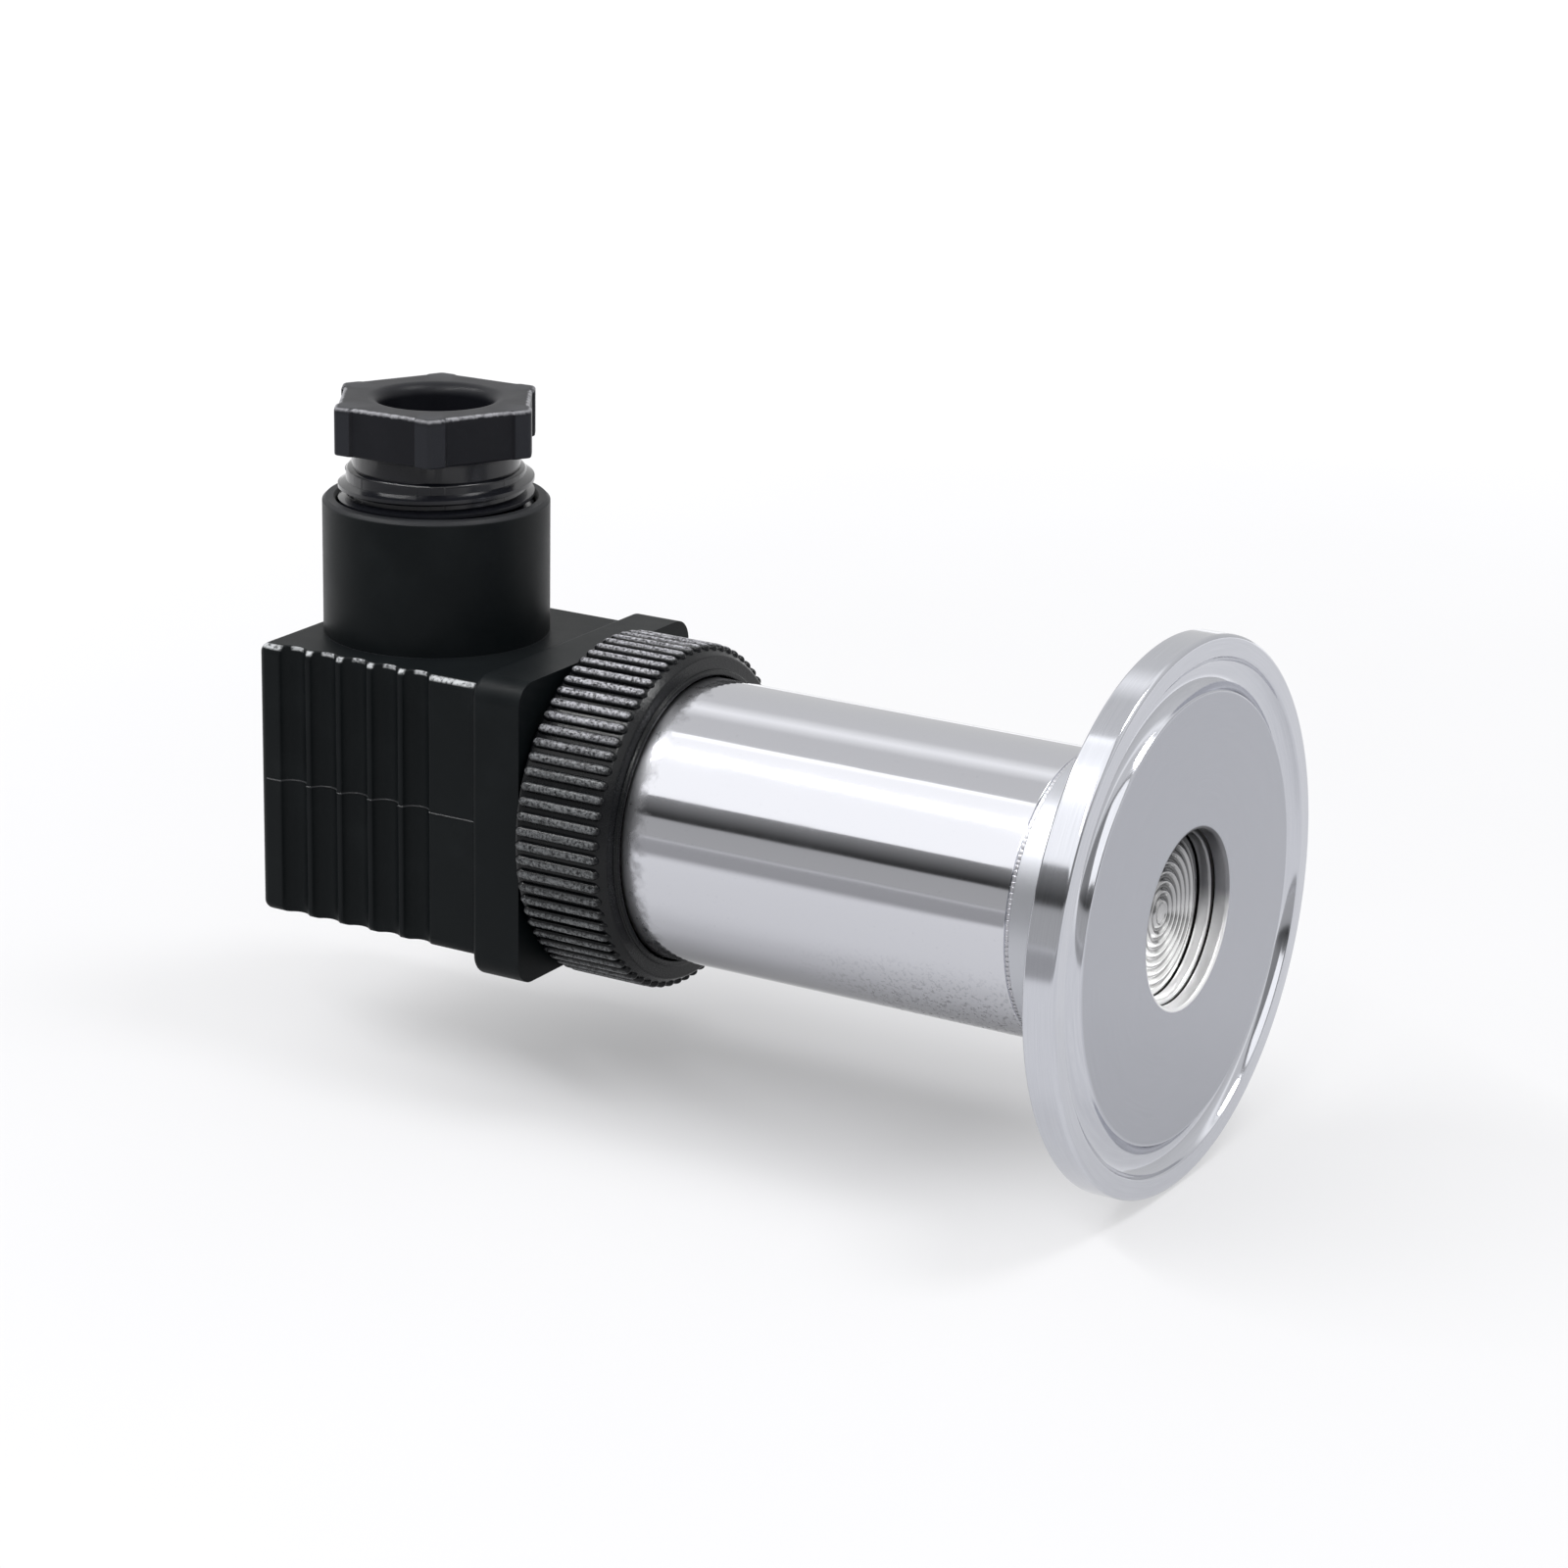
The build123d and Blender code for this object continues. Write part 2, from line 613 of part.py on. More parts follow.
# Plug housing: fluted block, skirt and gland collar, hollowed from the skirt side
block_width = block_front + block_side
block_height = block_top + block_bottom
block_y = (block_side - block_front) / 2
block_z = (block_top - block_bottom) / 2
collar_top = block_top + COLLAR_HEIGHT
grommet_seat = cavity_size / 2 + GROMMET_SEAT_HEIGHT
gasket_recess = gasket_size + 2 * LOOSE_GAP
with BuildPart() as plug_housing:
    with BuildSketch(across(block_back)):
        with Locations((block_y, block_z)):
            Rectangle(block_width, block_height)
    extrude(amount=BLOCK_LENGTH)
    long_edges = plug_housing.edges().filter_by(Axis.X)
    back_edges = plug_housing.faces().sort_by(Axis.X)[0].edges()
    fillet(long_edges + back_edges, radius=BLOCK_ROUND)
    with BuildSketch(Plane.XY.offset(-block_bottom)):
        for i in range(FLUTE_COUNT):
            flute_x = block_back + FLUTE_FIRST + i * FLUTE_PITCH
            with Locations((flute_x, -block_front - FLUTE_RADIUS + FLUTE_DEPTH)):
                Circle(FLUTE_RADIUS)
    extrude(amount=block_height, mode=Mode.SUBTRACT)
    crest_faces = plug_housing.faces().filter_by(Axis.Y).group_by(Axis.Y)[0]
    crest_edges = crest_faces.edges().filter_by(Axis.Z)
    fillet(crest_edges, radius=FLUTE_CREST_ROUND)
    with BuildSketch(across(skirt_step)):
        RectangleRounded(2 * skirt_half, 2 * skirt_half, SKIRT_RADIUS)
    extrude(amount=SKIRT_LENGTH)
    skirt_rims = plug_housing.faces().filter_by(Axis.X).sort_by(Axis.X)[1:3]
    fillet(skirt_rims[0].outer_wire().edges(), radius=SKIRT_ROUND)
    with BuildSketch(Plane.XY.offset(block_top - BLOCK_ROUND)):
        with Locations((gland_x, 0)):
            Circle(collar_r)
    extrude(amount=COLLAR_HEIGHT + BLOCK_ROUND)
    collar_rim = plug_housing.faces().sort_by(Axis.Z)[-1].outer_wire().edges()
    chamfer(collar_rim, length=COLLAR_CHAMFER)
    with BuildSketch(across(cavity_back)):
        RectangleRounded(cavity_size, cavity_size, CAVITY_RADIUS)
    extrude(amount=skirt_face - cavity_back, mode=Mode.SUBTRACT)
    with BuildSketch(across(gasket_recess_x)):
        RectangleRounded(gasket_recess, gasket_recess, GASKET_RADIUS + LOOSE_GAP)
    extrude(amount=GASKET_RECESS_DEPTH, mode=Mode.SUBTRACT)
    with BuildSketch(across(cavity_back)):
        Circle(SCREW_BOSS_D / 2)
    extrude(amount=SCREW_BOSS_HEIGHT)
    with BuildSketch(across(block_back)):
        Circle(SCREW_RECESS_D / 2)
    extrude(amount=SCREW_RECESS_DEPTH, mode=Mode.SUBTRACT)
    with BuildSketch(across(block_back)):
        Circle(SCREW_D / 2 + LOOSE_GAP)
    extrude(amount=BACK_WALL + SCREW_BOSS_HEIGHT, mode=Mode.SUBTRACT)
    with BuildSketch(Plane.XY.offset(grommet_seat)):
        with Locations((gland_x, 0)):
            Circle(gland_bore_r)
    extrude(amount=collar_top - grommet_seat, mode=Mode.SUBTRACT)
    collar_mouth = plug_housing.faces().sort_by(Axis.Z)[-1].inner_wires()[0].edges()
    chamfer(collar_mouth, length=COLLAR_MOUTH_CHAMFER)
    with BuildSketch(Plane.XY.offset(cavity_size / 2 - CAVITY_RADIUS)):
        with Locations((gland_x, 0)):
            Circle(CABLE_PORT_D / 2)
    extrude(amount=GROMMET_SEAT_HEIGHT + CAVITY_RADIUS, mode=Mode.SUBTRACT)

# Carrier of the sockets, with a pocket for each and the centre screw's hole
with BuildPart() as terminal_block:
    with BuildSketch(across(terminal_back)):
        RectangleRounded(terminal_size, terminal_size, TERMINAL_RADIUS)
        Circle(SCREW_D / 2 + LOOSE_GAP, mode=Mode.SUBTRACT)
    extrude(amount=TERMINAL_LENGTH)
    with BuildSketch(across(terminal_back)):
        with PolarLocations(contact_r, 4):
            Rectangle(CLAMP_DEPTH + 2 * SEAT_GAP, CLAMP_WIDTH + 2 * SEAT_GAP)
    extrude(amount=clamp_front - terminal_back + SEAT_GAP, mode=Mode.SUBTRACT)
    with BuildSketch(across(terminal_back)):
        with PolarLocations(contact_r, 4):
            Rectangle(SOCKET_THICKNESS + 2 * SEAT_GAP, SOCKET_WIDTH + 2 * SEAT_GAP)
    extrude(amount=socket_front - terminal_back + SEAT_GAP, mode=Mode.SUBTRACT)
    with BuildSketch(across(terminal_front)):
        with PolarLocations(contact_r, 4):
            Rectangle(BLADE_THICKNESS + 2 * LOOSE_GAP, BLADE_WIDTH + 2 * LOOSE_GAP)
    extrude(amount=-TERMINAL_FRONT_WALL, mode=Mode.SUBTRACT)

# Brass sockets with a slot for the blade and a threaded wire clamp behind it
blade_slot_depth = BLADE_REACH + EARTH_EXTRA - LOOSE_GAP
with BuildPart() as contact_sockets:
    with BuildSketch(across(clamp_front)):
        with PolarLocations(contact_r, 4):
            Rectangle(SOCKET_THICKNESS, SOCKET_WIDTH)
    extrude(amount=SOCKET_LENGTH)
    with BuildSketch(across(clamp_back)):
        with PolarLocations(contact_r, 4):
            Rectangle(CLAMP_DEPTH, CLAMP_WIDTH)
    extrude(amount=CLAMP_LENGTH)
    with BuildSketch(across(socket_front)):
        with PolarLocations(contact_r, 4):
            Rectangle(BLADE_THICKNESS + 2 * RUNNING_GAP, BLADE_WIDTH + 2 * RUNNING_GAP)
    extrude(amount=-blade_slot_depth, mode=Mode.SUBTRACT)
    with BuildSketch(across(clamp_back)):
        with PolarLocations(contact_r, 4):
            Circle(TERMINAL_SCREW_D / 2 + SEAT_GAP)
    extrude(amount=TERMINAL_SCREW_LENGTH + SEAT_GAP, mode=Mode.SUBTRACT)

with BuildPart() as terminal_screws:
    with BuildSketch(across(clamp_back)):
        with PolarLocations(contact_r, 4):
            Circle(TERMINAL_SCREW_D / 2)
    extrude(amount=TERMINAL_SCREW_LENGTH)
    with BuildSketch(across(clamp_back)):
        with PolarLocations(contact_r, 4):
            Circle(TERMINAL_HEAD_D / 2)
    extrude(amount=-TERMINAL_HEAD_HEIGHT)
    with BuildSketch(across(clamp_back - TERMINAL_HEAD_HEIGHT)):
        with PolarLocations(contact_r, 4):
            Rectangle(TERMINAL_HEAD_D, DRIVER_SLOT_WIDTH)
    extrude(amount=DRIVER_SLOT_DEPTH, mode=Mode.SUBTRACT)

# Centre screw that clamps the plug on the base, and the washer under its head
with BuildPart() as centre_screw:
    with BuildSketch(across(screw_head_x)):
        Circle(SCREW_D / 2)
    extrude(amount=screw_end - screw_head_x)
    chamfer(centre_screw.edges().sort_by(Axis.X)[-1], length=SCREW_D / 8)
    with BuildSketch(across(screw_head_x)):
        Circle(SCREW_HEAD_D / 2)
    extrude(amount=-SCREW_HEAD_HEIGHT)
    with BuildSketch(across(screw_head_x - SCREW_HEAD_HEIGHT)):
        Rectangle(SCREW_HEAD_D, DRIVER_SLOT_WIDTH)
    extrude(amount=DRIVER_SLOT_DEPTH, mode=Mode.SUBTRACT)

with BuildPart() as screw_washer:
    with BuildSketch(across(screw_head_x)):
        Circle(SCREW_HEAD_D / 2)
        Circle(SCREW_D / 2 + RUNNING_GAP, mode=Mode.SUBTRACT)
    extrude(amount=SCREW_WASHER_THICKNESS)

# Rubber cable seal on its seat in the collar
grommet_top = grommet_seat + GROMMET_HEIGHT
with BuildPart() as gland_grommet:
    with BuildSketch(Plane.XY.offset(grommet_seat)):
        with Locations((gland_x, 0)):
            Circle(gland_bore_r - LOOSE_GAP)
            Circle(GROMMET_BORE / 2, mode=Mode.SUBTRACT)
    extrude(amount=GROMMET_HEIGHT)
    top_rims = gland_grommet.faces().sort_by(Axis.Z)[-1].edges()
    chamfer(top_rims, length=GROMMET_CHAMFER)

gland_washer_z = grommet_top + GLAND_GAP_AT_REST
with BuildPart() as gland_washer:
    with BuildSketch(Plane.XY.offset(gland_washer_z)):
        with Locations((gland_x, 0)):
            Circle(gland_thread_r)
            Circle(GLAND_WASHER_BORE / 2, mode=Mode.SUBTRACT)
    extrude(amount=GLAND_WASHER_THICKNESS)

# Hexagon gland nut with shallow panels, partly unscrewed, with a threaded spigot and a rounded entry
spigot_z = gland_washer_z + GLAND_WASHER_THICKNESS
nut_neck_z = spigot_z + NUT_THREAD_LENGTH
nut_hex_z = nut_neck_z + NUT_NECK_LENGTH
nut_top = nut_hex_z + NUT_HEIGHT
with BuildPart() as gland_nut:
    with BuildSketch(Plane.XY.offset(spigot_z)):
        with Locations((gland_x, 0)):
            Circle(gland_thread_r)
    extrude(amount=NUT_THREAD_LENGTH)
    with BuildSketch(Plane.XY.offset(nut_neck_z)):
        with Locations((gland_x, 0)):
            Circle(NUT_NECK_D / 2)
    extrude(amount=NUT_NECK_LENGTH)
    with BuildSketch(Plane.XY.offset(nut_hex_z)):
        with Locations((gland_x, 0)):
            RegularPolygon(NUT_ACROSS_FLATS / 2, 6, major_radius=False, rotation=NUT_TURN)
    extrude(amount=NUT_HEIGHT)
    hex_corners = gland_nut.edges().filter_by(Axis.Z).group_by(Axis.Z)[-1]
    fillet(hex_corners, radius=NUT_CORNER_ROUND)
    hex_rim = gland_nut.faces().sort_by(Axis.Z)[-1].outer_wire().edges()
    fillet(hex_rim, radius=NUT_EDGE_ROUND)
    panel_width = NUT_ACROSS_FLATS * tan(radians(30)) - 2 * NUT_PANEL_EDGE
    with BuildSketch(Plane.XY.offset(nut_hex_z)):
        with Locations((gland_x, 0)):
            with PolarLocations(NUT_ACROSS_FLATS / 2, 6, start_angle=NUT_TURN + 30):
                Rectangle(2 * NUT_PANEL_DEPTH, panel_width)
    extrude(amount=NUT_HEIGHT, mode=Mode.SUBTRACT)
    with BuildSketch(Plane.XY.offset(spigot_z)):
        with Locations((gland_x, 0)):
            Circle(NUT_BORE / 2)
    extrude(amount=nut_top - spigot_z, mode=Mode.SUBTRACT)
    top_hole = gland_nut.faces().sort_by(Axis.Z)[-1].inner_wires()[0].edges()
    fillet(top_hole, radius=NUT_LEAD_IN)

pieces = {
    "ferrule": ferrule,
    "housing_tube": housing_tube,
    "weld_ring": weld_ring,
    "diaphragm": diaphragm,
    "sensor_capsule": sensor_capsule,
    "capsule_header": capsule_header,
    "header_pins": header_pins,
    "sensing_die": sensing_die,
    "capsule_o_ring": capsule_o_ring,
    "retaining_ring": retaining_ring,
    "circuit_board": circuit_board,
    "board_components": board_components,
    "sensor_leads": sensor_leads,
    "connector_leads": connector_leads,
    "connector_base": connector_base,
    "base_o_ring": base_o_ring,
    "thread_insert": thread_insert,
    "contact_blades": contact_blades,
    "earth_blade": earth_blade,
    "flat_gasket": flat_gasket,
    "slip_washer": slip_washer,
    "knurled_ring": knurled_ring,
    "plug_housing": plug_housing,
    "terminal_block": terminal_block,
    "contact_sockets": contact_sockets,
    "terminal_screws": terminal_screws,
    "centre_screw": centre_screw,
    "screw_washer": screw_washer,
    "gland_grommet": gland_grommet,
    "gland_washer": gland_washer,
    "gland_nut": gland_nut,
}
os.makedirs("parts", exist_ok=True)
for name, piece in pieces.items():
    piece.part.label = name
    export_step(piece.part, f"parts/{name}.step")
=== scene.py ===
import math

import bmesh
import bpy
from mathutils import Matrix, Vector


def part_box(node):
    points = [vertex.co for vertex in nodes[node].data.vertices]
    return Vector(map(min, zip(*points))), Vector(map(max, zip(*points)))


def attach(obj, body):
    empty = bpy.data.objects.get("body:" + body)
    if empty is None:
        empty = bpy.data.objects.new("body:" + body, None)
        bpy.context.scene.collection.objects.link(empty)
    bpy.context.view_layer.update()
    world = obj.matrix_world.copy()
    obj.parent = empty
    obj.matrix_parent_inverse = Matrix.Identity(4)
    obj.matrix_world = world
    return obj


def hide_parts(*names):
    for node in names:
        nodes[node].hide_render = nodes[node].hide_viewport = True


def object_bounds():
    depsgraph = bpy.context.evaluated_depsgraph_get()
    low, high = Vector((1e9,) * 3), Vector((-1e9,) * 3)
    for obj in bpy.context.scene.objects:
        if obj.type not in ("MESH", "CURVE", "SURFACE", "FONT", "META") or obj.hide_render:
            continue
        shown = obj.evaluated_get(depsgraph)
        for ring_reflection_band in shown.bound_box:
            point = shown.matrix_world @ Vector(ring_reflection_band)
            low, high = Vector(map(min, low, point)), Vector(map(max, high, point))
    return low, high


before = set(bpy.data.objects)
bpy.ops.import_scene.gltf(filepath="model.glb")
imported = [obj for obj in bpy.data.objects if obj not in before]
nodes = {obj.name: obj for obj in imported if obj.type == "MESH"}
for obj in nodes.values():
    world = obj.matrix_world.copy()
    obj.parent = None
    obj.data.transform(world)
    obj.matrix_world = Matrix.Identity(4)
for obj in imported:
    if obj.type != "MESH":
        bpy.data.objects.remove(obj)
cad_low, cad_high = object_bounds()

# Lengths are in millimetres, and become metres where a mesh is made
MM = 0.001
ROUND_STEPS = 256

# The radius given to a point that lies on its axis
LEAST_R = 1e-4

# Clamp ferrule
RIM_WIDTH = 3.0
RIM_BACK_ANGLE = math.radians(20)
GROOVE_R = 21.8
GROOVE_HALF_WIDTH = 1.5
GROOVE_DEPTH = 1.2
GROOVE_EDGE_ROUND = 0.22
FACE_R = 20.2
SPIGOT_R = 11.7
SPIGOT_BORE_R = 10.5
POCKET_END = -14.0
WELD_BEVEL = 0.25

# Port and diaphragm
PORT_R = 8.0
PORT_DEPTH = 1.5
PORT_LIP_STEP = 0.16
CAPSULE_R = 9.5
POCKET_GAP = 0.05
WELD_RING_BORE = 7.5
DIAPHRAGM_X = -2.75
FOIL_THICKNESS = 0.13
FOIL_SEAM = 0.14
RIPPLE_START = 0.9
RIPPLE_COUNT = 7
RIPPLE_PITCH = 0.86
RIPPLE_HEIGHT = 0.15

# Tube and weld
TUBE_R = 13.25
TUBE_BORE_R = 11.75
TUBE_COLLAR_R = 14.4
TUBE_COLLAR_WIDTH = 1.6
WELD_SCALE_COUNT = 170
WELD_SCALE_SIZE = (0.36, 0.36, 0.05, 1)
WELD_SCALE_SINK = 0.16
WELD_SCALE_LEAN = math.radians(10)
WELD_SCALE_WOBBLE = 0.12

# Union ring
LIP_GAP = 0.2
RING_LIP = 1.8
RING_BORE_R = 14.78
RING_VALLEY_R = 15.78
RIDGE_R = 0.52
RIDGE_COUNT = 72

# Gland nut
NUT_FLAT = 9.15
NUT_CORNER_ROUND = 0.45
NUT_PANEL_HALF = 3.53
NUT_PANEL_DEPTH = 0.25
NUT_PANEL_SLOPE = 0.12
NUT_TURN = math.radians(1.8)
NUT_HEIGHT = 4.6
NUT_EDGE_ROUND = 0.32
NUT_FOOT_ROUND = 0.2
NUT_NECK_ROUND = 0.3
NUT_LEAD_IN = 1.15
NUT_BORE_R = 5.3
NUT_NECK_R = 7.95
NUT_NECK_LENGTH = 2.0
NUT_CORE_R = 8.5
THREAD_CREST_R = 9.26
THREAD_PITCH = 1.41
THREAD_ROOT_WIDTH = 1.12
THREAD_CREST_WIDTH = 0.34
THREAD_START = 0.55
THREAD_ENDS = 0.9
WEAR_HEIGHT = 0.7
WEAR_WIDTH = 0.8

# Plug housing
FLUTE_FIRST = 4.0
FLUTE_PITCH = 3.52
FLUTE_R = 1.6
FLUTE_DEPTH = 1.1
FLUTE_COUNT = 5
BLOCK_FRONT = 13.9
BLOCK_TOP = 13.7
SKIRT_STEP = -66.1
COLLAR_TOP = 26.7
PARTING_Z = 0.5


def reach(node, axis):
    """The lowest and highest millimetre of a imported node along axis 0, 1 or 2."""
    low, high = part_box(node)
    return low[axis] / MM, high[axis] / MM


ferrule_back = reach("ferrule", 0)[0]
rim_r = reach("ferrule", 1)[1]
taper_end = -RIM_WIDTH - (rim_r - TUBE_R) * math.tan(RIM_BACK_ANGLE)
tube_end, weld_x = reach("housing_tube", 0)
ring_back, ring_front = reach("knurled_ring", 0)
ring_r = reach("knurled_ring", 1)[1]
gland_x = sum(reach("gland_washer", 0)) / 2
spigot_z, nut_top = reach("gland_nut", 2)
hex_z = nut_top - NUT_HEIGHT
neck_z = hex_z - NUT_NECK_LENGTH
block_back = reach("plug_housing", 0)[0]
first_flute = block_back + FLUTE_FIRST


# Node graphs, for finishes and for geometry


def sums(operation):
    """The method that puts a wire first in a Math node."""
    return lambda self, other: self.graph.maths(operation, self, other)


def turned_sums(operation):
    """The method that puts a wire second in a Math node."""
    return lambda self, other: self.graph.maths(operation, other, self)


class Wire:
    """One output of a node. An expression on wires adds its Math nodes."""

    def __init__(self, graph, socket):
        self.graph = graph
        self.socket = socket

    __add__ = sums("ADD")
    __radd__ = turned_sums("ADD")
    __sub__ = sums("SUBTRACT")
    __rsub__ = turned_sums("SUBTRACT")
    __mul__ = sums("MULTIPLY")
    __rmul__ = turned_sums("MULTIPLY")
    __truediv__ = sums("DIVIDE")
    __rtruediv__ = turned_sums("DIVIDE")
    __pow__ = sums("POWER")


def socket_of(sockets, key):
    """A node's socket by its place, name or identifier."""
    if isinstance(key, int):
        return sockets[key]
    return next(s for s in sockets if key in (s.name, s.identifier) and s.enabled)


class Graph:
    """A node tree and the one method that adds its nodes."""

    def __init__(self, tree):
        self.tree = tree

    def node(self, kind, settings=None, values=None, out=0):
        """Adds a node, sets it up, gives its sockets values or links, and returns one output."""
        made = self.tree.nodes.new(kind)
        for name, value in (settings or {}).items():
            if name == "stops":
                self.set_stops(made.color_ramp, value)
            else:
                setattr(made, name, value)
        for key, value in (values or {}).items():
            self.feed(socket_of(made.inputs, key), value)
        return Wire(self, socket_of(made.outputs, out)) if len(made.outputs) else None

    def feed(self, socket, value):
        """Links a wire to a socket, or sets the socket to a plain value."""
        if isinstance(value, Wire):
            self.tree.links.new(value.socket, socket)
        else:
            socket.default_value = value

    def set_stops(self, ramp, stops):
        """Gives a colour ramp its stops, each a place and a grey."""
        while len(ramp.elements) < len(stops):
            ramp.elements.new(0.5)
        for element, (place, grey) in zip(ramp.elements, stops):
            element.position = place
            element.color = (grey, grey, grey, 1)

    def maths(self, operation, *values, clamp=False):
        settings = {"operation": operation, "use_clamp": clamp}
        return self.node("ShaderNodeMath", settings, dict(enumerate(values)))


class Finish(Graph):
    """A procedural material. Its place, x, y and z are the surface's place in millimetres."""

    def __init__(self, name, colour, roughness, metallic=0.0, **fixed):
        self.material = bpy.data.materials.new(name)
        self.material.use_nodes = True
        super().__init__(self.material.node_tree)
        self.tree.nodes.clear()
        output = self.tree.nodes.new("ShaderNodeOutputMaterial")
        self.shader = self.tree.nodes.new("ShaderNodeBsdfPrincipled")
        self.tree.links.new(self.shader.outputs[0], output.inputs["Surface"])
        self.give("Base Color", (*colour, 1))
        self.give("Roughness", roughness)
        self.give("Metallic", metallic)
        for label, value in fixed.items():
            self.give(label.replace("_", " ").title().replace("Ior", "IOR"), value)
        spot = self.node("ShaderNodeTexCoord", out="Object")
        self.place = self.node("ShaderNodeVectorMath", {"operation": "SCALE"}, {0: spot, "Scale": 1 / MM})
        self.x, self.y, self.z = self.parts(self.place)

    def give(self, label, value):
        """Sets or links one socket of the shader."""
        self.feed(self.shader.inputs[label], value)

    def noise(self, size, detail=2.0, place=None, roughness=0.5):
        """Noise from 0 to 1 whose lumps are about size millimetres across."""
        values = {"Vector": place or self.place, "Scale": 1 / size, "Detail": detail, "Roughness": roughness}
        return self.node("ShaderNodeTexNoise", values=values)

    def attribute(self, name):
        """A number stored on the piece's points."""
        return self.node("ShaderNodeAttribute", {"attribute_name": name}, out="Fac")

    def parts(self, vector):
        """The three numbers of a vector."""
        made = self.node("ShaderNodeSeparateXYZ", values={0: vector})
        return [made] + [Wire(self, made.socket.node.outputs[i]) for i in (1, 2)]

    def joined(self, x, y, z):
        return self.node("ShaderNodeCombineXYZ", values={0: x, 1: y, 2: z})

    def step(self, value, low, high):
        """0 where value is at low, 1 where it is at high, and smooth between."""
        settings = {"interpolation_type": "SMOOTHSTEP"}
        return self.node("ShaderNodeMapRange", settings, {"Value": value, "From Min": low, "From Max": high})

    def below(self, value, low, high):
        """1 where value is under low, 0 where it is over high, and smooth between."""
        return 1 - self.step(value, low, high)

    def band(self, value, rise, fall):
        """1 between a soft rise and a soft fall, each a low and a high value, and 0 outside them."""
        return self.step(value, *rise) * self.below(value, *fall)

    def either(self, mask, *others):
        """The strongest of several masks."""
        for other in others:
            mask = self.maths("MAXIMUM", mask, other)
        return mask

    def mix(self, share, first, second):
        """A colour between two, by share. Each is a wire or three numbers."""
        first, second = [c if isinstance(c, Wire) else (*c, 1) for c in (first, second)]
        values = {"Factor_Float": share, "A_Color": first, "B_Color": second}
        return self.node("ShaderNodeMix", {"data_type": "RGBA"}, values, out="Result_Color")

    def bump(self, height, depth):
        """Raises the surface by height times depth millimetres, on top of any bump before."""
        values = {"Height": height, "Distance": depth * MM, "Strength": 1.0}
        links = self.shader.inputs["Normal"].links
        if links:
            values["Normal"] = Wire(self, links[0].from_socket)
        self.give("Normal", self.node("ShaderNodeBump", values=values))

    def around(self, axis, centre=(0, 0), stretch=4.0):
        """Places that run round an axis: along and out in millimetres, and the turn as a circle."""
        along, first, second = (self.x, self.y, self.z) if axis == 0 else (self.z, self.x, self.y)
        first = first - centre[0]
        second = second - centre[1]
        radius = self.maths("SQRT", first * first + second * second)
        safe = self.maths("MAXIMUM", radius, 0.01)
        return along, radius, first / safe * stretch, second / safe * stretch

    def lathe_lines(self, line_width):
        """Noise drawn out round the X axis, as a turning tool leaves it."""
        along, out, first, second = self.around(0)
        track = self.joined((along * 1.3 + out) * (1 / line_width), first, second)
        return self.noise(1.0, 3.0, track, 0.62)

    def port_lit_and_shaded(self, lit_low, shaded_high):
        """Painted light and shade in the port: a colour painted bright low in the port, painted half shade
        higher up and painted dark shade at the port's top.
        """
        uneven = self.z + 1.2 * (self.noise(1.6, 3.0) - 0.5)
        half_shaded = self.mix(self.step(uneven, *PORT_SHADE_Z), lit_low, shaded_high)
        return self.mix(0.75 * self.step(uneven, *PORT_TOP_SHADE_Z), half_shaded, PORT_TOP_SHADE)


class Recipe(Graph):
    """A Geometry Nodes tree with named sizes, which ends in Realize Instances and Set Material."""

    KINDS = {float: "NodeSocketFloat", int: "NodeSocketInt"}

    def __init__(self, name, sizes):
        super().__init__(bpy.data.node_groups.new(name, "GeometryNodeTree"))
        self.sizes = dict(sizes)
        self.tree.interface.new_socket("Base", in_out="INPUT", socket_type="NodeSocketGeometry")
        for label, value in self.sizes.items():
            kind = self.KINDS[type(value)]
            self.tree.interface.new_socket(label, in_out="INPUT", socket_type=kind)
        self.tree.interface.new_socket("Finish", in_out="INPUT", socket_type="NodeSocketMaterial")
        self.tree.interface.new_socket("Geometry", in_out="OUTPUT", socket_type="NodeSocketGeometry")
        self.source = self.tree.nodes.new("NodeGroupInput")

    def size(self, label):
        return Wire(self, self.source.outputs[label])

    def end(self, geometry):
        """Closes the tree."""
        real = self.node("GeometryNodeRealizeInstances", values={0: geometry})
        dressed = self.node("GeometryNodeSetMaterial", values={0: real, "Material": self.size("Finish")})
        self.node("NodeGroupOutput", values={0: dressed})
        return self

    def mesh(self, finish, base, changed):
        """The plain mesh that the tree makes of a base mesh, with some sizes changed."""
        holder = bpy.data.objects.new("holder", base)
        bpy.context.scene.collection.objects.link(holder)
        modifier = holder.modifiers.new("Recipe", "NODES")
        modifier.node_group = self.tree
        sizes = {**self.sizes, **changed}
        for item in self.tree.interface.items_tree:
            if item.in_out == "INPUT" and item.name != "Base":
                modifier[item.identifier] = sizes.get(item.name, finish.material)
        return settled(holder)


def repeat_round():
    """A tree that sets copies of a mesh round the X axis, one every turn step."""
    tree = Recipe("repeat_round", {"Count": 72, "Turn Step": 0.1, "Wobble": 0.0, "Seed": 1})
    order = tree.node("GeometryNodeInputIndex")
    jitter_sizes = {"Min_001": -1.0, "Max_001": 1.0, "ID": order, "Seed": tree.size("Seed")}
    jitter = tree.node("FunctionNodeRandomValue", {"data_type": "FLOAT"}, jitter_sizes, out="Value_001")
    turn = (order + jitter * tree.size("Wobble")) * tree.size("Turn Step")
    euler = tree.node("ShaderNodeCombineXYZ", values={0: turn, 1: 0.0, 2: 0.0})
    rotation = tree.node("FunctionNodeEulerToRotation", values={0: euler})
    places = tree.node("GeometryNodePoints", values={"Count": tree.size("Count")})
    links = {"Points": places, "Instance": tree.size("Base"), "Rotation": rotation}
    return tree.end(tree.node("GeometryNodeInstanceOnPoints", values=links))


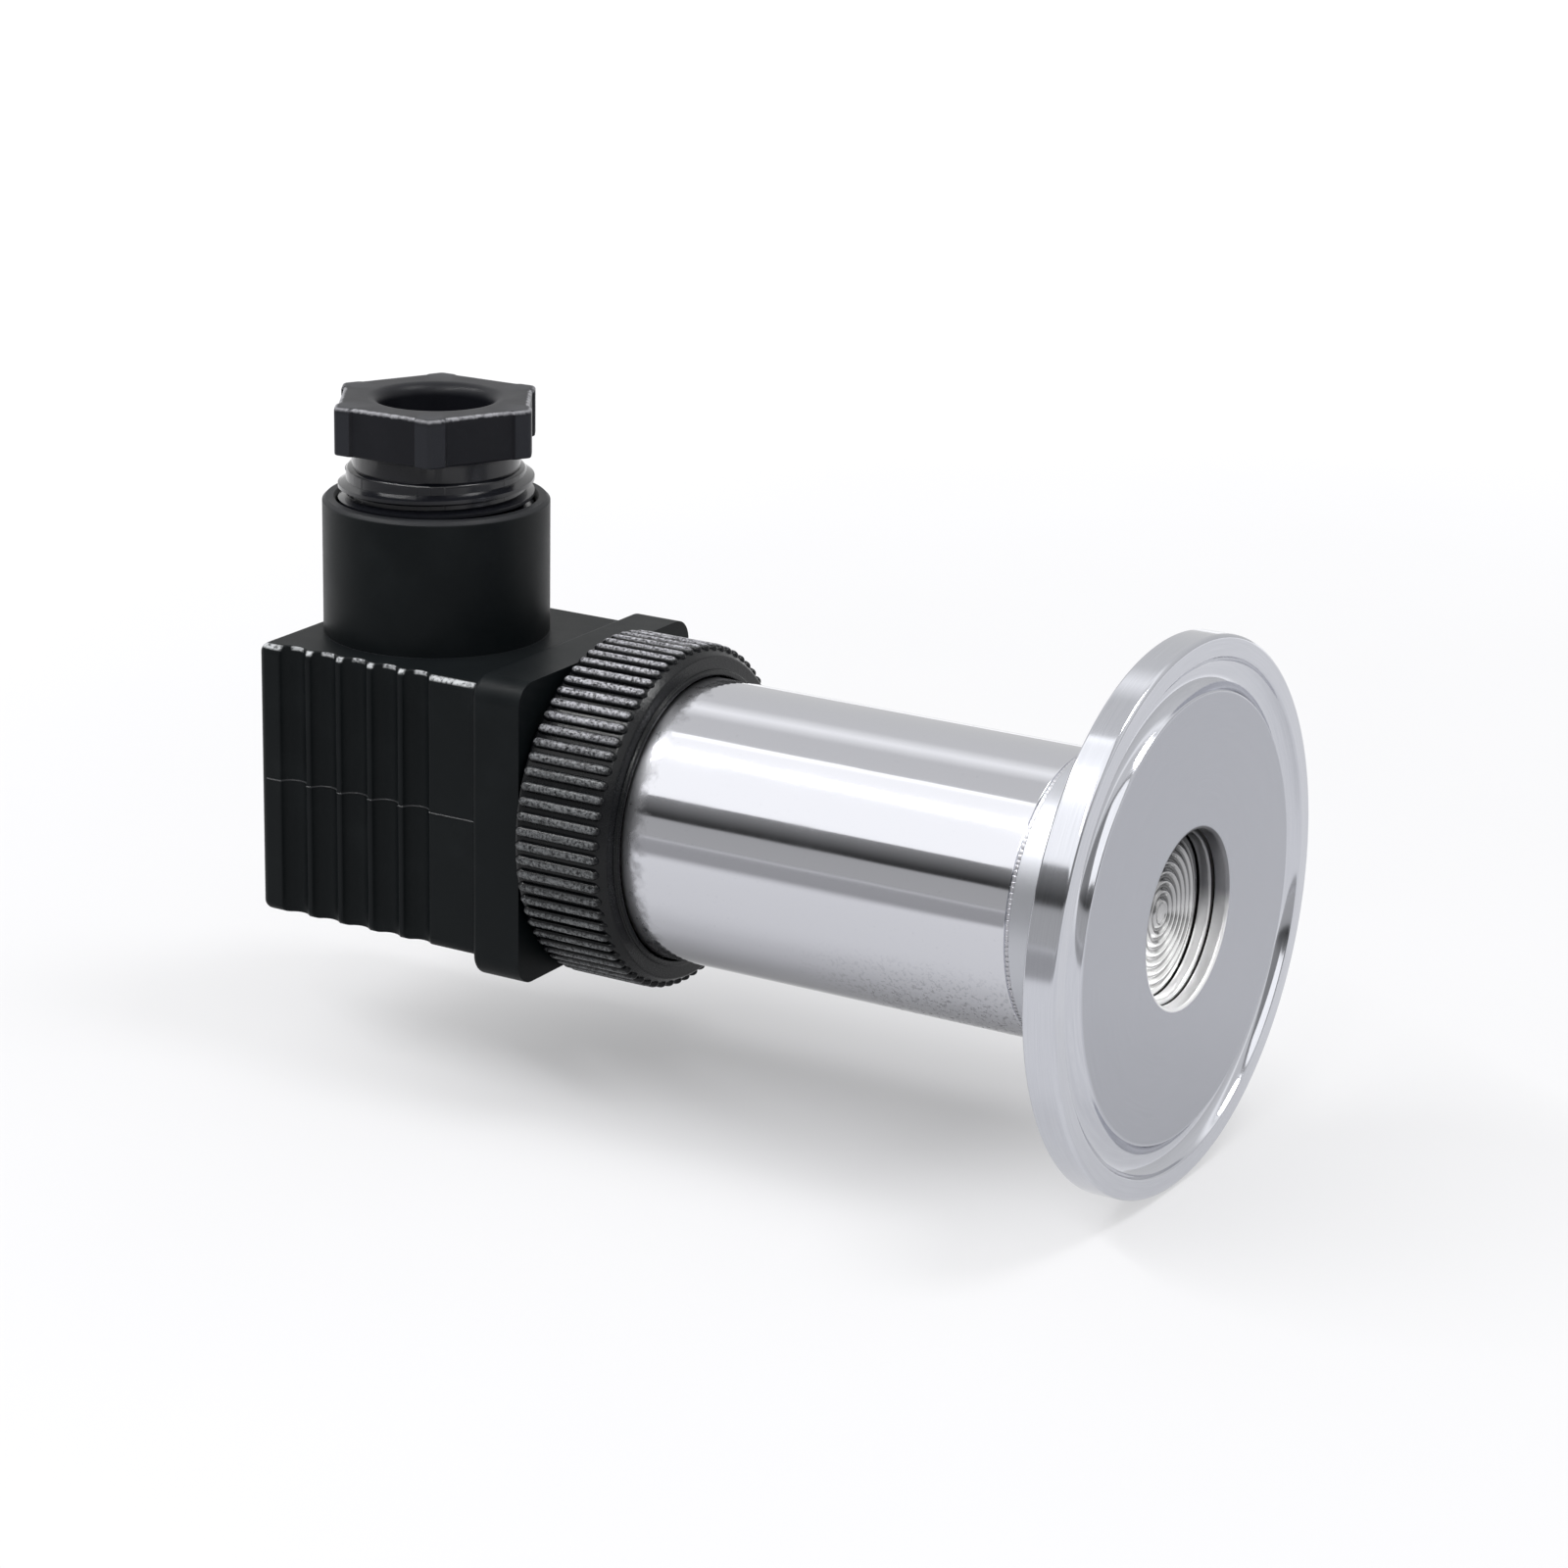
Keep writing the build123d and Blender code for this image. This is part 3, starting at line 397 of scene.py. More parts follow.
def screw_thread():
    """A tree that sweeps a thread's crest up a right-hand helix round the Z axis, sizes in metres."""
    sizes = {"Turns": 4.0, "Core": 0.0085, "Height": 0.006, "Depth": 0.0007, "Root": 0.0011, "Crest": 0.0003,
             "Steps": 72, "Run Out": 0.06}
    tree = Recipe("screw_thread", sizes)
    core = tree.size("Core")
    values = {"Resolution": tree.size("Steps"), "Rotations": tree.size("Turns"), "Reverse": True,
              "Start Radius": core, "End Radius": core, "Height": tree.size("Height")}
    helix = tree.node("GeometryNodeCurveSpiral", values=values)
    upright = tree.node("GeometryNodeSetCurveNormal", {"mode": "Z_UP"}, {0: helix})
    way = tree.node("GeometryNodeSplineParameter", out="Factor")
    nearest_end = tree.maths("MINIMUM", way, 1 - way)
    fade = tree.maths("MULTIPLY", nearest_end / tree.size("Run Out"), 1.0, clamp=True)
    inner = tree.size("Depth") * -0.1
    corners = [(inner, -0.5, "Root"), (tree.size("Depth"), -0.5, "Crest"),
               (tree.size("Depth"), 0.5, "Crest"), (inner, 0.5, "Root")]
    spots = {}
    for i, (out, share, width) in enumerate(corners):
        joined = tree.node("ShaderNodeCombineXYZ", values={0: out, 1: tree.size(width) * share, 2: 0.0})
        spots["Point " + str(i + 1)] = joined
    section = tree.node("GeometryNodeCurvePrimitiveQuadrilateral", {"mode": "POINTS"}, spots)
    values = {"Curve": upright, "Profile Curve": section, "Scale": 0.05 + fade * 0.95, "Fill Caps": True}
    return tree.end(tree.node("GeometryNodeCurveToMesh", values=values))


# Meshes


def settled(holder):
    """The plain mesh that an object's modifiers give. The object is removed."""
    evaluated = holder.evaluated_get(bpy.context.evaluated_depsgraph_get())
    mesh = bpy.data.meshes.new_from_object(evaluated)
    bpy.data.objects.remove(holder)
    return mesh


def rounded(outline, steps=6):
    """An outline of (along, out, radius) corners as plain points, each corner an arc of its radius."""
    nearly_straight = math.radians(89.5)
    points = []
    for i, (x, y, radius) in enumerate(outline):
        here = Vector((x, y))
        if not radius:
            points.append(here)
            continue
        before = (Vector(outline[i - 1][:2]) - here).normalized()
        after = (Vector(outline[(i + 1) % len(outline)][:2]) - here).normalized()
        half = before.angle(after) / 2
        if half > nearly_straight:
            points.append(here)
            continue
        centre = here + (before + after).normalized() * (radius / math.sin(half))
        start = here + before * (radius / math.tan(half)) - centre
        end = here + after * (radius / math.tan(half)) - centre
        turn = start.angle_signed(end)
        for k in range(steps + 1):
            spoke = start.copy()
            spoke.rotate(Matrix.Rotation(-turn * k / steps, 2))
            points.append(centre + spoke)
    return points


def arc(centre, radius, first, last, steps):
    """Points (along, out, 0) on an arc between two angles in degrees."""
    angles = [math.radians(first + (last - first) * k / steps) for k in range(steps + 1)]
    return [(centre[0] + radius * math.cos(a), centre[1] + radius * math.sin(a), 0) for a in angles]


def quarter(steps):
    """Pairs (sine, 1 - cosine) from 0 to 90 degrees, for rounding an edge level by level."""
    angles = [math.pi / 2 * k / steps for k in range(steps + 1)]
    return [(math.sin(a), 1 - math.cos(a)) for a in angles]


def loft(rings, closed_loop=True):
    """A mesh between rings of as many points each. A closed loop joins the last ring to the first."""
    mesh = bpy.data.meshes.new("loft")
    count = len(rings[0])
    points = [p for ring in rings for p in ring]
    last = len(rings) if closed_loop else len(rings) - 1
    faces = []
    for i in range(last):
        a, b = i * count, (i + 1) % len(rings) * count
        for k in range(count):
            n = (k + 1) % count
            faces.append((a + k, a + n, b + n, b + k))
    if not closed_loop:
        faces.append(tuple(reversed(range(count))))
        faces.append(tuple(range(last * count, last * count + count)))
    mesh.from_pydata([Vector(p) * MM for p in points], [], faces)
    return outward(mesh)


def outward(mesh):
    """Turns a closed mesh's faces to point out."""
    work = bmesh.new()
    work.from_mesh(mesh)
    bmesh.ops.remove_doubles(work, verts=work.verts, dist=1e-7)
    bmesh.ops.recalc_face_normals(work, faces=work.faces)
    work.to_mesh(mesh)
    work.free()
    return mesh


def turned(outline, steps=ROUND_STEPS, closed_loop=True):
    """An outline of (along, out, radius) corners, spun round X. An open one starts and ends on the axis."""
    spokes = [2 * math.pi * k / steps for k in range(steps)]
    rings = []
    for point in rounded(outline):
        out = max(point.y, LEAST_R)
        rings.append([(point.x, out * math.cos(a), out * math.sin(a)) for a in spokes])
    return loft(rings, closed_loop)


def merged(*meshes):
    """One mesh of several."""
    work = bmesh.new()
    for mesh in meshes:
        work.from_mesh(mesh)
    mesh = bpy.data.meshes.new("merged")
    work.to_mesh(mesh)
    work.free()
    return mesh


def softened_copy(node, width, segments=2, sharp=28, flat=0.5):
    """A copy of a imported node. Facets within flat degrees are merged, and edges over sharp are rounded."""
    work = bmesh.new()
    work.from_mesh(nodes[node].data)
    bmesh.ops.remove_doubles(work, verts=work.verts, dist=2e-6)
    bmesh.ops.dissolve_degenerate(work, edges=work.edges, dist=1e-6)
    bmesh.ops.dissolve_limit(work, angle_limit=math.radians(flat), verts=work.verts, edges=work.edges)
    mesh = bpy.data.meshes.new(node + "_soft")
    work.to_mesh(mesh)
    work.free()
    holder = bpy.data.objects.new("holder", mesh)
    bpy.context.scene.collection.objects.link(holder)
    bevel = holder.modifiers.new("Bevel", "BEVEL")
    bevel.width = width * MM
    bevel.segments = segments
    bevel.limit_method = "ANGLE"
    bevel.angle_limit = math.radians(sharp)
    return settled(holder)


def piece(name, mesh, finish, body, stands_for=(), crease=None):
    """Adds a finished piece that rides on a body. A crease angle keeps sharper edges sharp."""
    mesh.name = name
    mesh.materials.clear()
    mesh.materials.append(finish.material)
    mesh.shade_smooth()
    if crease:
        mesh.set_sharp_from_angle(angle=math.radians(crease))
    made = bpy.data.objects.new(name, mesh)
    bpy.context.scene.collection.objects.link(made)
    weigh = made.modifiers.new("Even shading", "WEIGHTED_NORMAL")
    weigh.keep_sharp = True
    weigh.weight = 100
    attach(made, body)
    if stands_for:
        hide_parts(*stands_for)


# Finishes

# Painted light low in the port, and the painted dark shade at its top
PORT_LIT_LOW = (0.93, 0.93, 0.93)
PORT_TOP_SHADE = (0.035, 0.035, 0.037)
CREST_DEPTH = 0.22

# Noise values between which a lathe line shows
LINE_NOISE = (0.30, 0.72)

# Where a change in a finish starts and ends, in millimetres
# Heights of the port's painted half shade and painted dark shade
PORT_SHADE_Z = (-3.4, 0.8)
PORT_TOP_SHADE_Z = (3.6, 7.2)
TUBE_RING_REFLECTION_BAND = (ring_front + 0.4, ring_front + 2.6)
TUBE_UNDERSIDE_SHADE_Z = (-6.5, -11.5)
SPECKS_X = (-36.0, -18.0)
SPECKS_Z = (-10.5, -3.0)
CREST_TOP_LIT_Z = (6.5, 14.0)
EDGE_HIGHLIGHT_Z = (BLOCK_TOP - 0.52, BLOCK_TOP - 0.28)
EDGE_HIGHLIGHT_END_Z = (BLOCK_TOP - 0.10, BLOCK_TOP - 0.01)
EDGE_HIGHLIGHT_Y = (-12.6, -12.4)
COLLAR_RIM_Z = (COLLAR_TOP - 0.5, COLLAR_TOP - 0.2)
COLLAR_RIM_R = (9.5, 9.7)


def dimmed(tone, share):
    """A colour at a share of its strength."""
    return tuple(share * c for c in tone)


def turned_steel(name, tone, roughness, depth, line_width=0.09):
    """Steel with fine lathe lines, as deep and wide as given."""
    finish = Finish(name, tone, roughness, metallic=1.0)
    lines = finish.lathe_lines(line_width)
    cloud = finish.noise(6.0, 3.0)
    finish.give("Roughness", roughness + 0.16 * (lines - 0.5) + 0.10 * (cloud - 0.5))
    finish.give("Base Color", finish.mix(finish.step(lines, *LINE_NOISE), dimmed(tone, 0.86), tone))
    finish.bump(lines, depth)
    return finish


def ferrule_steel():
    """Polished turned steel, left satin and darker on its sealing face and neck, with painted light low in
    its port and painted shade higher up.
    """
    polished, polished_line = (0.57, 0.58, 0.62), (0.53, 0.54, 0.58)
    satin, satin_line = (0.395, 0.405, 0.44), (0.375, 0.385, 0.42)
    neck_tone = (0.46, 0.47, 0.50)
    roughness = 0.11
    finish = Finish("satin_steel", polished, roughness, metallic=1.0)
    along, out = finish.around(0)[:2]
    face = finish.step(along, -0.30, -0.12) * finish.below(out, FACE_R - 0.2, FACE_R + 0.2)
    neck = finish.below(along, taper_end - 0.5, taper_end + 0.7)
    port = finish.step(along, -PORT_DEPTH - 0.5, -PORT_DEPTH - 0.4)
    port = port * finish.below(out, PORT_R + 0.2, PORT_R + 0.4)
    lines = finish.lathe_lines(1 / 11.0)
    cloud = finish.noise(6.0, 3.0)
    rough = roughness + 0.13 * face + 0.26 * neck + 0.28 * port
    finish.give("Roughness", rough + 0.06 * (lines - 0.5) + 0.05 * (cloud - 0.5))
    tone = finish.mix(face, polished, satin)
    line_tone = finish.mix(face, polished_line, satin_line)
    streaked = finish.mix(finish.step(lines, *LINE_NOISE), line_tone, tone)
    necked = finish.mix(neck * 0.8, streaked, neck_tone)
    # Painted light and shade in the port: bright low down, shaded towards its top
    in_port = finish.port_lit_and_shaded(PORT_LIT_LOW, (0.19, 0.19, 0.20))
    finish.give("Base Color", finish.mix(port * 0.9, necked, in_port))
    finish.bump(lines, 0.0004)
    return finish


def weld_ring_steel():
    """Turned steel with the port's painted light low down and painted shade higher up."""
    finish = turned_steel("bright_turned_steel", (0.46, 0.46, 0.47), 0.32, 0.0010, 0.14)
    finish.give("Base Color", finish.port_lit_and_shaded(PORT_LIT_LOW, (0.24, 0.24, 0.25)))
    return finish


def corrugated_foil():
    """Thin satin foil with painted shade in the valleys of its ripples, under the port's painted light and
    shade.
    """
    finish = turned_steel("foil_steel", (0.5, 0.5, 0.5), 0.20, 0.0003, 0.05)
    out = finish.around(0)[1]
    ripple = finish.maths("SINE", (out - RIPPLE_START) * (2 * math.pi / RIPPLE_PITCH))
    # Painted shade in the ripples' valleys
    valley_shade = finish.below(ripple, -0.75, 0.2) * finish.step(out, RIPPLE_START - 0.1, RIPPLE_START + 0.3)
    crest_tone = finish.port_lit_and_shaded((0.90, 0.90, 0.90), (0.40, 0.40, 0.405))
    valley_shade_tone = finish.port_lit_and_shaded((0.30, 0.30, 0.30), (0.05, 0.05, 0.052))
    finish.give("Base Color", finish.mix(valley_shade * 0.75, crest_tone, valley_shade_tone))
    return finish


def tube_steel():
    """Mirror polish with faint haze, wheel marks and pits, rougher by the ring with a painted dark
    reflection of the ring, painted shade towards its underside, and specked low by the weld.
    """
    tone = (0.575, 0.58, 0.615)
    roughness = 0.065
    finish = Finish("mirror_steel", tone, roughness, metallic=1.0)
    along, _, first, second = finish.around(0, stretch=1.6)
    marks = finish.noise(1.0, 3.0, finish.joined(along * 6.0, first, second), 0.7)
    haze = finish.noise(7.0, 3.0)
    cells = {"Vector": finish.place, "Scale": 1 / 2.6, "Randomness": 1.0}
    near = finish.node("ShaderNodeTexVoronoi", values=cells, out="Distance")
    luck = finish.parts(Wire(finish, near.socket.node.outputs["Color"]))[0]
    pits = finish.below(near, 0.015, 0.04) * finish.step(luck, 0.86, 0.88)
    ragged = 1.6 * (haze - 0.5) + 3.2 * (finish.noise(1.0, 3.0) - 0.5)
    # The band by the ring: rougher, and where a dark reflection of the ring is painted
    ring_reflection_band = finish.below(along + ragged, *TUBE_RING_REFLECTION_BAND)
    low_end = finish.step(along + 8.0 * (haze - 0.5), *SPECKS_X) * finish.below(finish.z, *SPECKS_Z)
    specks = finish.step(finish.noise(0.42, 3.0, roughness=0.7), 0.53, 0.61) * low_end
    faint = finish.step(finish.noise(0.3, 3.0, roughness=0.7), 0.66, 0.70)
    dirt = finish.either(pits * 0.8, specks * 0.55, faint * 0.12)
    # Painted shade: the tube is darker towards its underside
    shaded = finish.mix(finish.step(finish.z, *TUBE_UNDERSIDE_SHADE_Z), tone, dimmed(tone, 0.62))
    # Painted dark reflection of the ring
    with_ring_reflection = finish.mix(ring_reflection_band * 0.60, shaded, (0.16, 0.16, 0.165))
    finish.give("Base Color", finish.mix(dirt, with_ring_reflection, (0.08, 0.08, 0.085)))
    hazy = roughness + 0.04 * finish.step(haze, 0.4, 0.8) + 0.25 * ring_reflection_band
    finish.give("Roughness", hazy + 0.05 * (marks - 0.5) + 0.3 * finish.either(pits, specks))
    finish.bump(marks, 0.0006)
    finish.bump(finish.noise(5.5, 1.0), 0.010)
    return finish


def moulded(name, tone, roughness, grain, depth, sheen=0.09):
    """Moulded plastic with a fine grain, broad sheen changes and a little dust. Its shade is kept."""
    finish = Finish(name, tone, roughness, specular_ior_level=sheen)
    fine = finish.noise(grain, 3.0, roughness=0.6)
    broad = finish.noise(5.0, 3.0)
    dust = finish.step(finish.noise(0.22, 1.0), 0.73, 0.80)
    dusty = tuple(c * 1.8 + 0.004 for c in tone)
    finish.shade = finish.mix(dust * 0.5 + 0.35 * finish.step(broad, 0.45, 0.9), tone, dusty)
    finish.give("Base Color", finish.shade)
    finish.give("Roughness", roughness + 0.14 * (fine - 0.5) + 0.16 * (broad - 0.5))
    finish.bump(fine, depth)
    return finish


def ring_plastic():
    """The ring's plastic, grey and grainy on the crests of its ridges, partly rubbed wear and partly a
    painted highlight, and with painted light making them palest at its top.
    """
    finish = moulded("ring_black", (0.0050, 0.0054, 0.0062), 0.26, 0.35, 0.014, sheen=0.22)
    out = finish.around(0)[1]
    grains = finish.noise(0.30, 3.0, roughness=0.75)
    # The crests: partly rubbed wear, partly a painted highlight
    crest = finish.step(out, ring_r - CREST_DEPTH, ring_r) * finish.step(grains, 0.34, 0.66)
    # Painted light: the crests' grey is paler towards the ring's top
    rubbed = finish.mix(finish.step(finish.z, *CREST_TOP_LIT_Z), (0.13, 0.135, 0.14), (0.38, 0.38, 0.41))
    finish.give("Base Color", finish.mix(crest, finish.shade, rubbed))
    return finish


def block_plastic():
    """The plug's plastic, with painted highlights along its top front edge at the bottoms and crests of its
    flutes, and a painted highlight round the collar's rim.
    """
    finish = moulded("plug_black", (0.0050, 0.0062, 0.0069), 0.42, 0.12, 0.003)
    x, y, z = finish.x, finish.y, finish.z
    # Painted highlights along the top front edge, two to each flute
    wave = finish.maths("COSINE", (x - first_flute) * (2 * math.pi / FLUTE_PITCH))
    highlight_dashes = finish.either(finish.step(wave, 0.10, 0.60), finish.below(wave, -0.97, -0.72))
    flutes_start = block_back + 2.2
    flutes_end = first_flute + (FLUTE_COUNT - 0.55) * FLUTE_PITCH
    fluted = finish.band(x, (flutes_start, flutes_start + 0.2), (flutes_end, flutes_end + 0.2))
    length = finish.band(x, (block_back + 0.2, block_back + 0.5), (SKIRT_STEP - 0.5, SKIRT_STEP - 0.2))
    height = finish.band(z, EDGE_HIGHLIGHT_Z, EDGE_HIGHLIGHT_END_Z)
    edge = finish.either(highlight_dashes, 1 - fluted) * length * height * finish.below(y, *EDGE_HIGHLIGHT_Y)
    collar = finish.around(2, (gland_x, 0))[1]
    # Painted highlight round the collar's top rim
    rim = finish.step(z, *COLLAR_RIM_Z) * finish.step(collar, *COLLAR_RIM_R)
    rim_painted_highlight = finish.mix(rim, finish.shade, (0.020, 0.021, 0.023))
    highlight_breakup = finish.step(finish.noise(0.35, 2.0), 0.22, 0.62)
    # The painted edge highlight, broken up by noise
    finish.give("Base Color", finish.mix(edge * highlight_breakup, rim_painted_highlight, (0.40, 0.41, 0.42)))
    return finish


def nut_plastic():
    """The nut's plastic, rubbed pale on its top edges, lighter on its corners and smooth on its spigot."""
    finish = moulded("nut_black", (0.0068, 0.0072, 0.0094), 0.40, 0.20, 0.005, sheen=0.16)
    bare = finish.step(finish.attribute("wear") * (0.45 + finish.noise(0.45, 3.0)), 0.42, 0.80)
    worn = finish.mix(bare, finish.shade, (0.22, 0.22, 0.235))
    finish.give("Base Color", finish.mix(finish.attribute("strip"), worn, (0.017, 0.018, 0.022)))
    upper = finish.step(finish.z, hex_z - 0.6, hex_z)
    finish.give("Roughness", 0.17 + 0.23 * upper + 0.12 * (finish.noise(3.0, 3.0) - 0.5))
    finish.give("Coat Weight", 0.55 * (1 - upper))
    finish.give("Coat Roughness", 0.24)
    return finish


def rubber(name, tone):
    """Matt rubber with a fine uneven skin."""
    finish = Finish(name, tone, 0.7, ior=1.45)
    finish.give("Roughness", 0.62 + 0.2 * finish.noise(1.2))
    finish.bump(finish.noise(0.25, 3.0), 0.012)
    return finish


def plated(name, tone, roughness):
    """Bright plated metal with a slight cloud in its plating."""
    finish = Finish(name, tone, roughness, metallic=1.0)
    cloud = finish.noise(0.8, 3.0)
    finish.give("Base Color", finish.mix(finish.step(cloud, 0.35, 0.75), tone, dimmed(tone, 0.8)))
    finish.give("Roughness", roughness + 0.2 * (cloud - 0.5))
    finish.bump(finish.noise(0.15, 2.0), 0.002)
    return finish


def resist_green():
    """Green solder resist over faint copper tracks that run along the board."""
    resist, over_track = (0.02, 0.16, 0.07), (0.04, 0.27, 0.10)
    finish = Finish("board_resist", resist, 0.35, ior=1.5)
    stretched = finish.joined(finish.x * 0.25, finish.y * 1.6, finish.z)
    track = finish.step(finish.noise(1.0, 1.0, stretched), 0.5, 0.54)
    finish.give("Base Color", finish.mix(track, resist, over_track))
    finish.give("Roughness", 0.35 + 0.1 * finish.noise(0.7))
    finish.bump(track, 0.03)
    return finish


satin_steel = ferrule_steel()
bright_steel = weld_ring_steel()
weld_steel = turned_steel("weld_steel", (0.50, 0.50, 0.53), 0.42, 0.0020, 0.3)
# Dark weld oxide, partly painted shade in the port's crevices
weld_oxide = turned_steel("weld_oxide", (0.035, 0.033, 0.032), 0.55, 0.0010, 0.2)
foil_steel = corrugated_foil()
mirror_steel = tube_steel()
ring_black = ring_plastic()
plug_black = block_plastic()
nut_black = nut_plastic()
# Paler than the housing: partly a painted highlight on the parting line
flash_black = moulded("flash_black", (0.035, 0.036, 0.038), 0.3, 0.12, 0.002)
base_black = moulded("base_black", (0.013, 0.013, 0.015), 0.45, 0.15, 0.006)
black_rubber = rubber("black_rubber", (0.016, 0.016, 0.017))
grey_rubber = rubber("grey_rubber", (0.20, 0.20, 0.21))
brass = plated("turned_brass", (0.80, 0.58, 0.27), 0.25)
gold = plated("gold_plate", (0.93, 0.68, 0.30), 0.18)
tin = plated("tin_plate", (0.74, 0.74, 0.72), 0.28)
zinc = plated("zinc_plate", (0.68, 0.70, 0.74), 0.30)
board_green = resist_green()
chip_black = moulded("chip_black", (0.03, 0.03, 0.033), 0.5, 0.1, 0.004)
silicon = plated("silicon", (0.25, 0.26, 0.30), 0.12)
lead_red = moulded("lead_red", (0.42, 0.03, 0.025), 0.4, 0.2, 0.004)
slip_white = moulded("slip_white", (0.68, 0.68, 0.65), 0.5, 0.2, 0.004)


# Ferrule, tube and capsule end, all on the fixed body


def build_ferrule():
    """Clamp ferrule with its gasket groove, tapered back, neck and port."""
    radius = (GROOVE_HALF_WIDTH ** 2 + GROOVE_DEPTH ** 2) / (2 * GROOVE_DEPTH)
    half = math.degrees(math.asin(GROOVE_HALF_WIDTH / radius))
    groove = arc((radius - GROOVE_DEPTH, GROOVE_R), radius, 180 + half, 180 - half, 24)
    inner, outer = groove[0], groove[-1]
    pocket_r = CAPSULE_R + POCKET_GAP
    outline = [
        (inner[0], inner[1], GROOVE_EDGE_ROUND),
        *groove[2:-2],
        (outer[0], outer[1], GROOVE_EDGE_ROUND),
        (0, rim_r, 0.45),
        (-RIM_WIDTH, rim_r, 0.25),
        (taper_end, TUBE_R, 1.6),
        (weld_x + WELD_BEVEL, TUBE_R, 0.1),
        (weld_x, TUBE_R - WELD_BEVEL, 0),
        (weld_x, SPIGOT_R, 0),
        (ferrule_back, SPIGOT_R, 0.1),
        (ferrule_back, SPIGOT_BORE_R, 0.1),
        (POCKET_END, SPIGOT_BORE_R, 0),
        (POCKET_END, pocket_r, 0),
        (-PORT_DEPTH, pocket_r, 0),
        (-PORT_DEPTH, PORT_R + 0.45, 0),
        (-PORT_DEPTH + PORT_LIP_STEP, PORT_R + 0.4, 0),
        (-PORT_DEPTH + PORT_LIP_STEP, PORT_R, 0.05),
        (0, PORT_R, 0.3),
    ]
    piece("ferrule_turned", turned(outline), satin_steel, "transmitter", ["ferrule"])


def build_tube():
    """Polished tube with the union ring's collar on its end."""
    collar = tube_end + TUBE_COLLAR_WIDTH
    outline = [
        (weld_x, TUBE_BORE_R, 0),
        (weld_x, TUBE_R - WELD_BEVEL, 0),
        (weld_x - WELD_BEVEL, TUBE_R, 0.1),
        (collar, TUBE_R, 0.15),
        (collar, TUBE_COLLAR_R, 0.15),
        (tube_end, TUBE_COLLAR_R, 0.15),
        (tube_end, TUBE_BORE_R, 0.1),
    ]
    tube = turned(outline)
    piece("tube_polished", tube, mirror_steel, "transmitter", ["housing_tube"])


def build_weld_ring():
    """The ring that holds the foil's edge, and the dark crevices on each side of it: thin rings of dark weld
    oxide that are partly painted shade in the crevices.
    """
    front = -PORT_DEPTH
    back = DIAPHRAGM_X + FOIL_SEAM
    ring = [
        (back, CAPSULE_R, 0),
        (front, CAPSULE_R, 0),
        (front, WELD_RING_BORE, 0.22),
        (back, WELD_RING_BORE, 0.06),
    ]
    piece("weld_ring_turned", turned(ring), bright_steel, "transmitter", ["weld_ring"])
    by_lip = (front - 0.02, front + 0.05, PORT_R - 0.02)
    by_foil = (DIAPHRAGM_X + 0.02, back, WELD_RING_BORE + 0.12)
    seams = []
    for low, high, inside in (by_lip, by_foil):
        outside = inside + 0.5
        seams.append(turned([(low, inside, 0), (high, inside, 0), (high, outside, 0), (low, outside, 0)]))
    # Dark rings in the crevices: partly weld oxide, partly painted shade
    piece("port_crevices", merged(*seams), weld_oxide, "transmitter")


def build_diaphragm():
    """The corrugated foil at the bottom of the port."""
    steps = 16 * RIPPLE_COUNT
    top = [(DIAPHRAGM_X, 0, 0), (DIAPHRAGM_X, RIPPLE_START * 0.6, 0)]
    for i in range(steps + 1):
        ripples = RIPPLE_COUNT * i / steps
        height = RIPPLE_HEIGHT * math.sin(2 * math.pi * ripples)
        top.append((DIAPHRAGM_X + height, RIPPLE_START + RIPPLE_PITCH * ripples, 0))
    top.append((DIAPHRAGM_X, CAPSULE_R, 0))
    under = [(x - FOIL_THICKNESS, out, 0) for x, out, _ in reversed(top)]
    foil = turned(top + under, 192, closed_loop=False)
    piece("foil_diaphragm", foil, foil_steel, "transmitter", ["diaphragm"])


def build_weld_seam():
    """Fine overlapping weld scales between the tube and the ferrule's neck."""
    scale = bpy.data.meshes.new("scale")
    work = bmesh.new()
    bmesh.ops.create_icosphere(work, subdivisions=2, radius=MM)
    lean = Matrix.Rotation(WELD_SCALE_LEAN, 4, "X")
    place = Matrix.Translation(Vector((weld_x, 0, TUBE_R - WELD_SCALE_SINK)) * MM)
    bmesh.ops.transform(work, matrix=place @ lean @ Matrix.Diagonal(WELD_SCALE_SIZE), verts=work.verts)
    work.to_mesh(scale)
    work.free()
    sizes = {"Count": WELD_SCALE_COUNT, "Turn Step": 2 * math.pi / WELD_SCALE_COUNT,
             "Wobble": WELD_SCALE_WOBBLE}
    seam = around_tree.mesh(weld_steel, scale, sizes)
    piece("weld_seam", seam, weld_steel, "transmitter")


# Union ring


def ball_ended_bar(start, end, radius, height, steps=16, end_steps=5):
    """A bar along X with rounded ends, at a height over the axis."""
    end_length = 1.3 * radius
    stations = [(start + end_length * fall, radius * rise) for rise, fall in quarter(end_steps)]
    stations += [(start + end - x, r) for x, r in reversed(stations)]
    spokes = [2 * math.pi * k / steps for k in range(steps)]
    rings = []
    for x, out in stations:
        out = max(out, LEAST_R)
        rings.append([(x, out * math.cos(a), height + out * math.sin(a)) for a in spokes])
    return loft(rings, closed_loop=False)


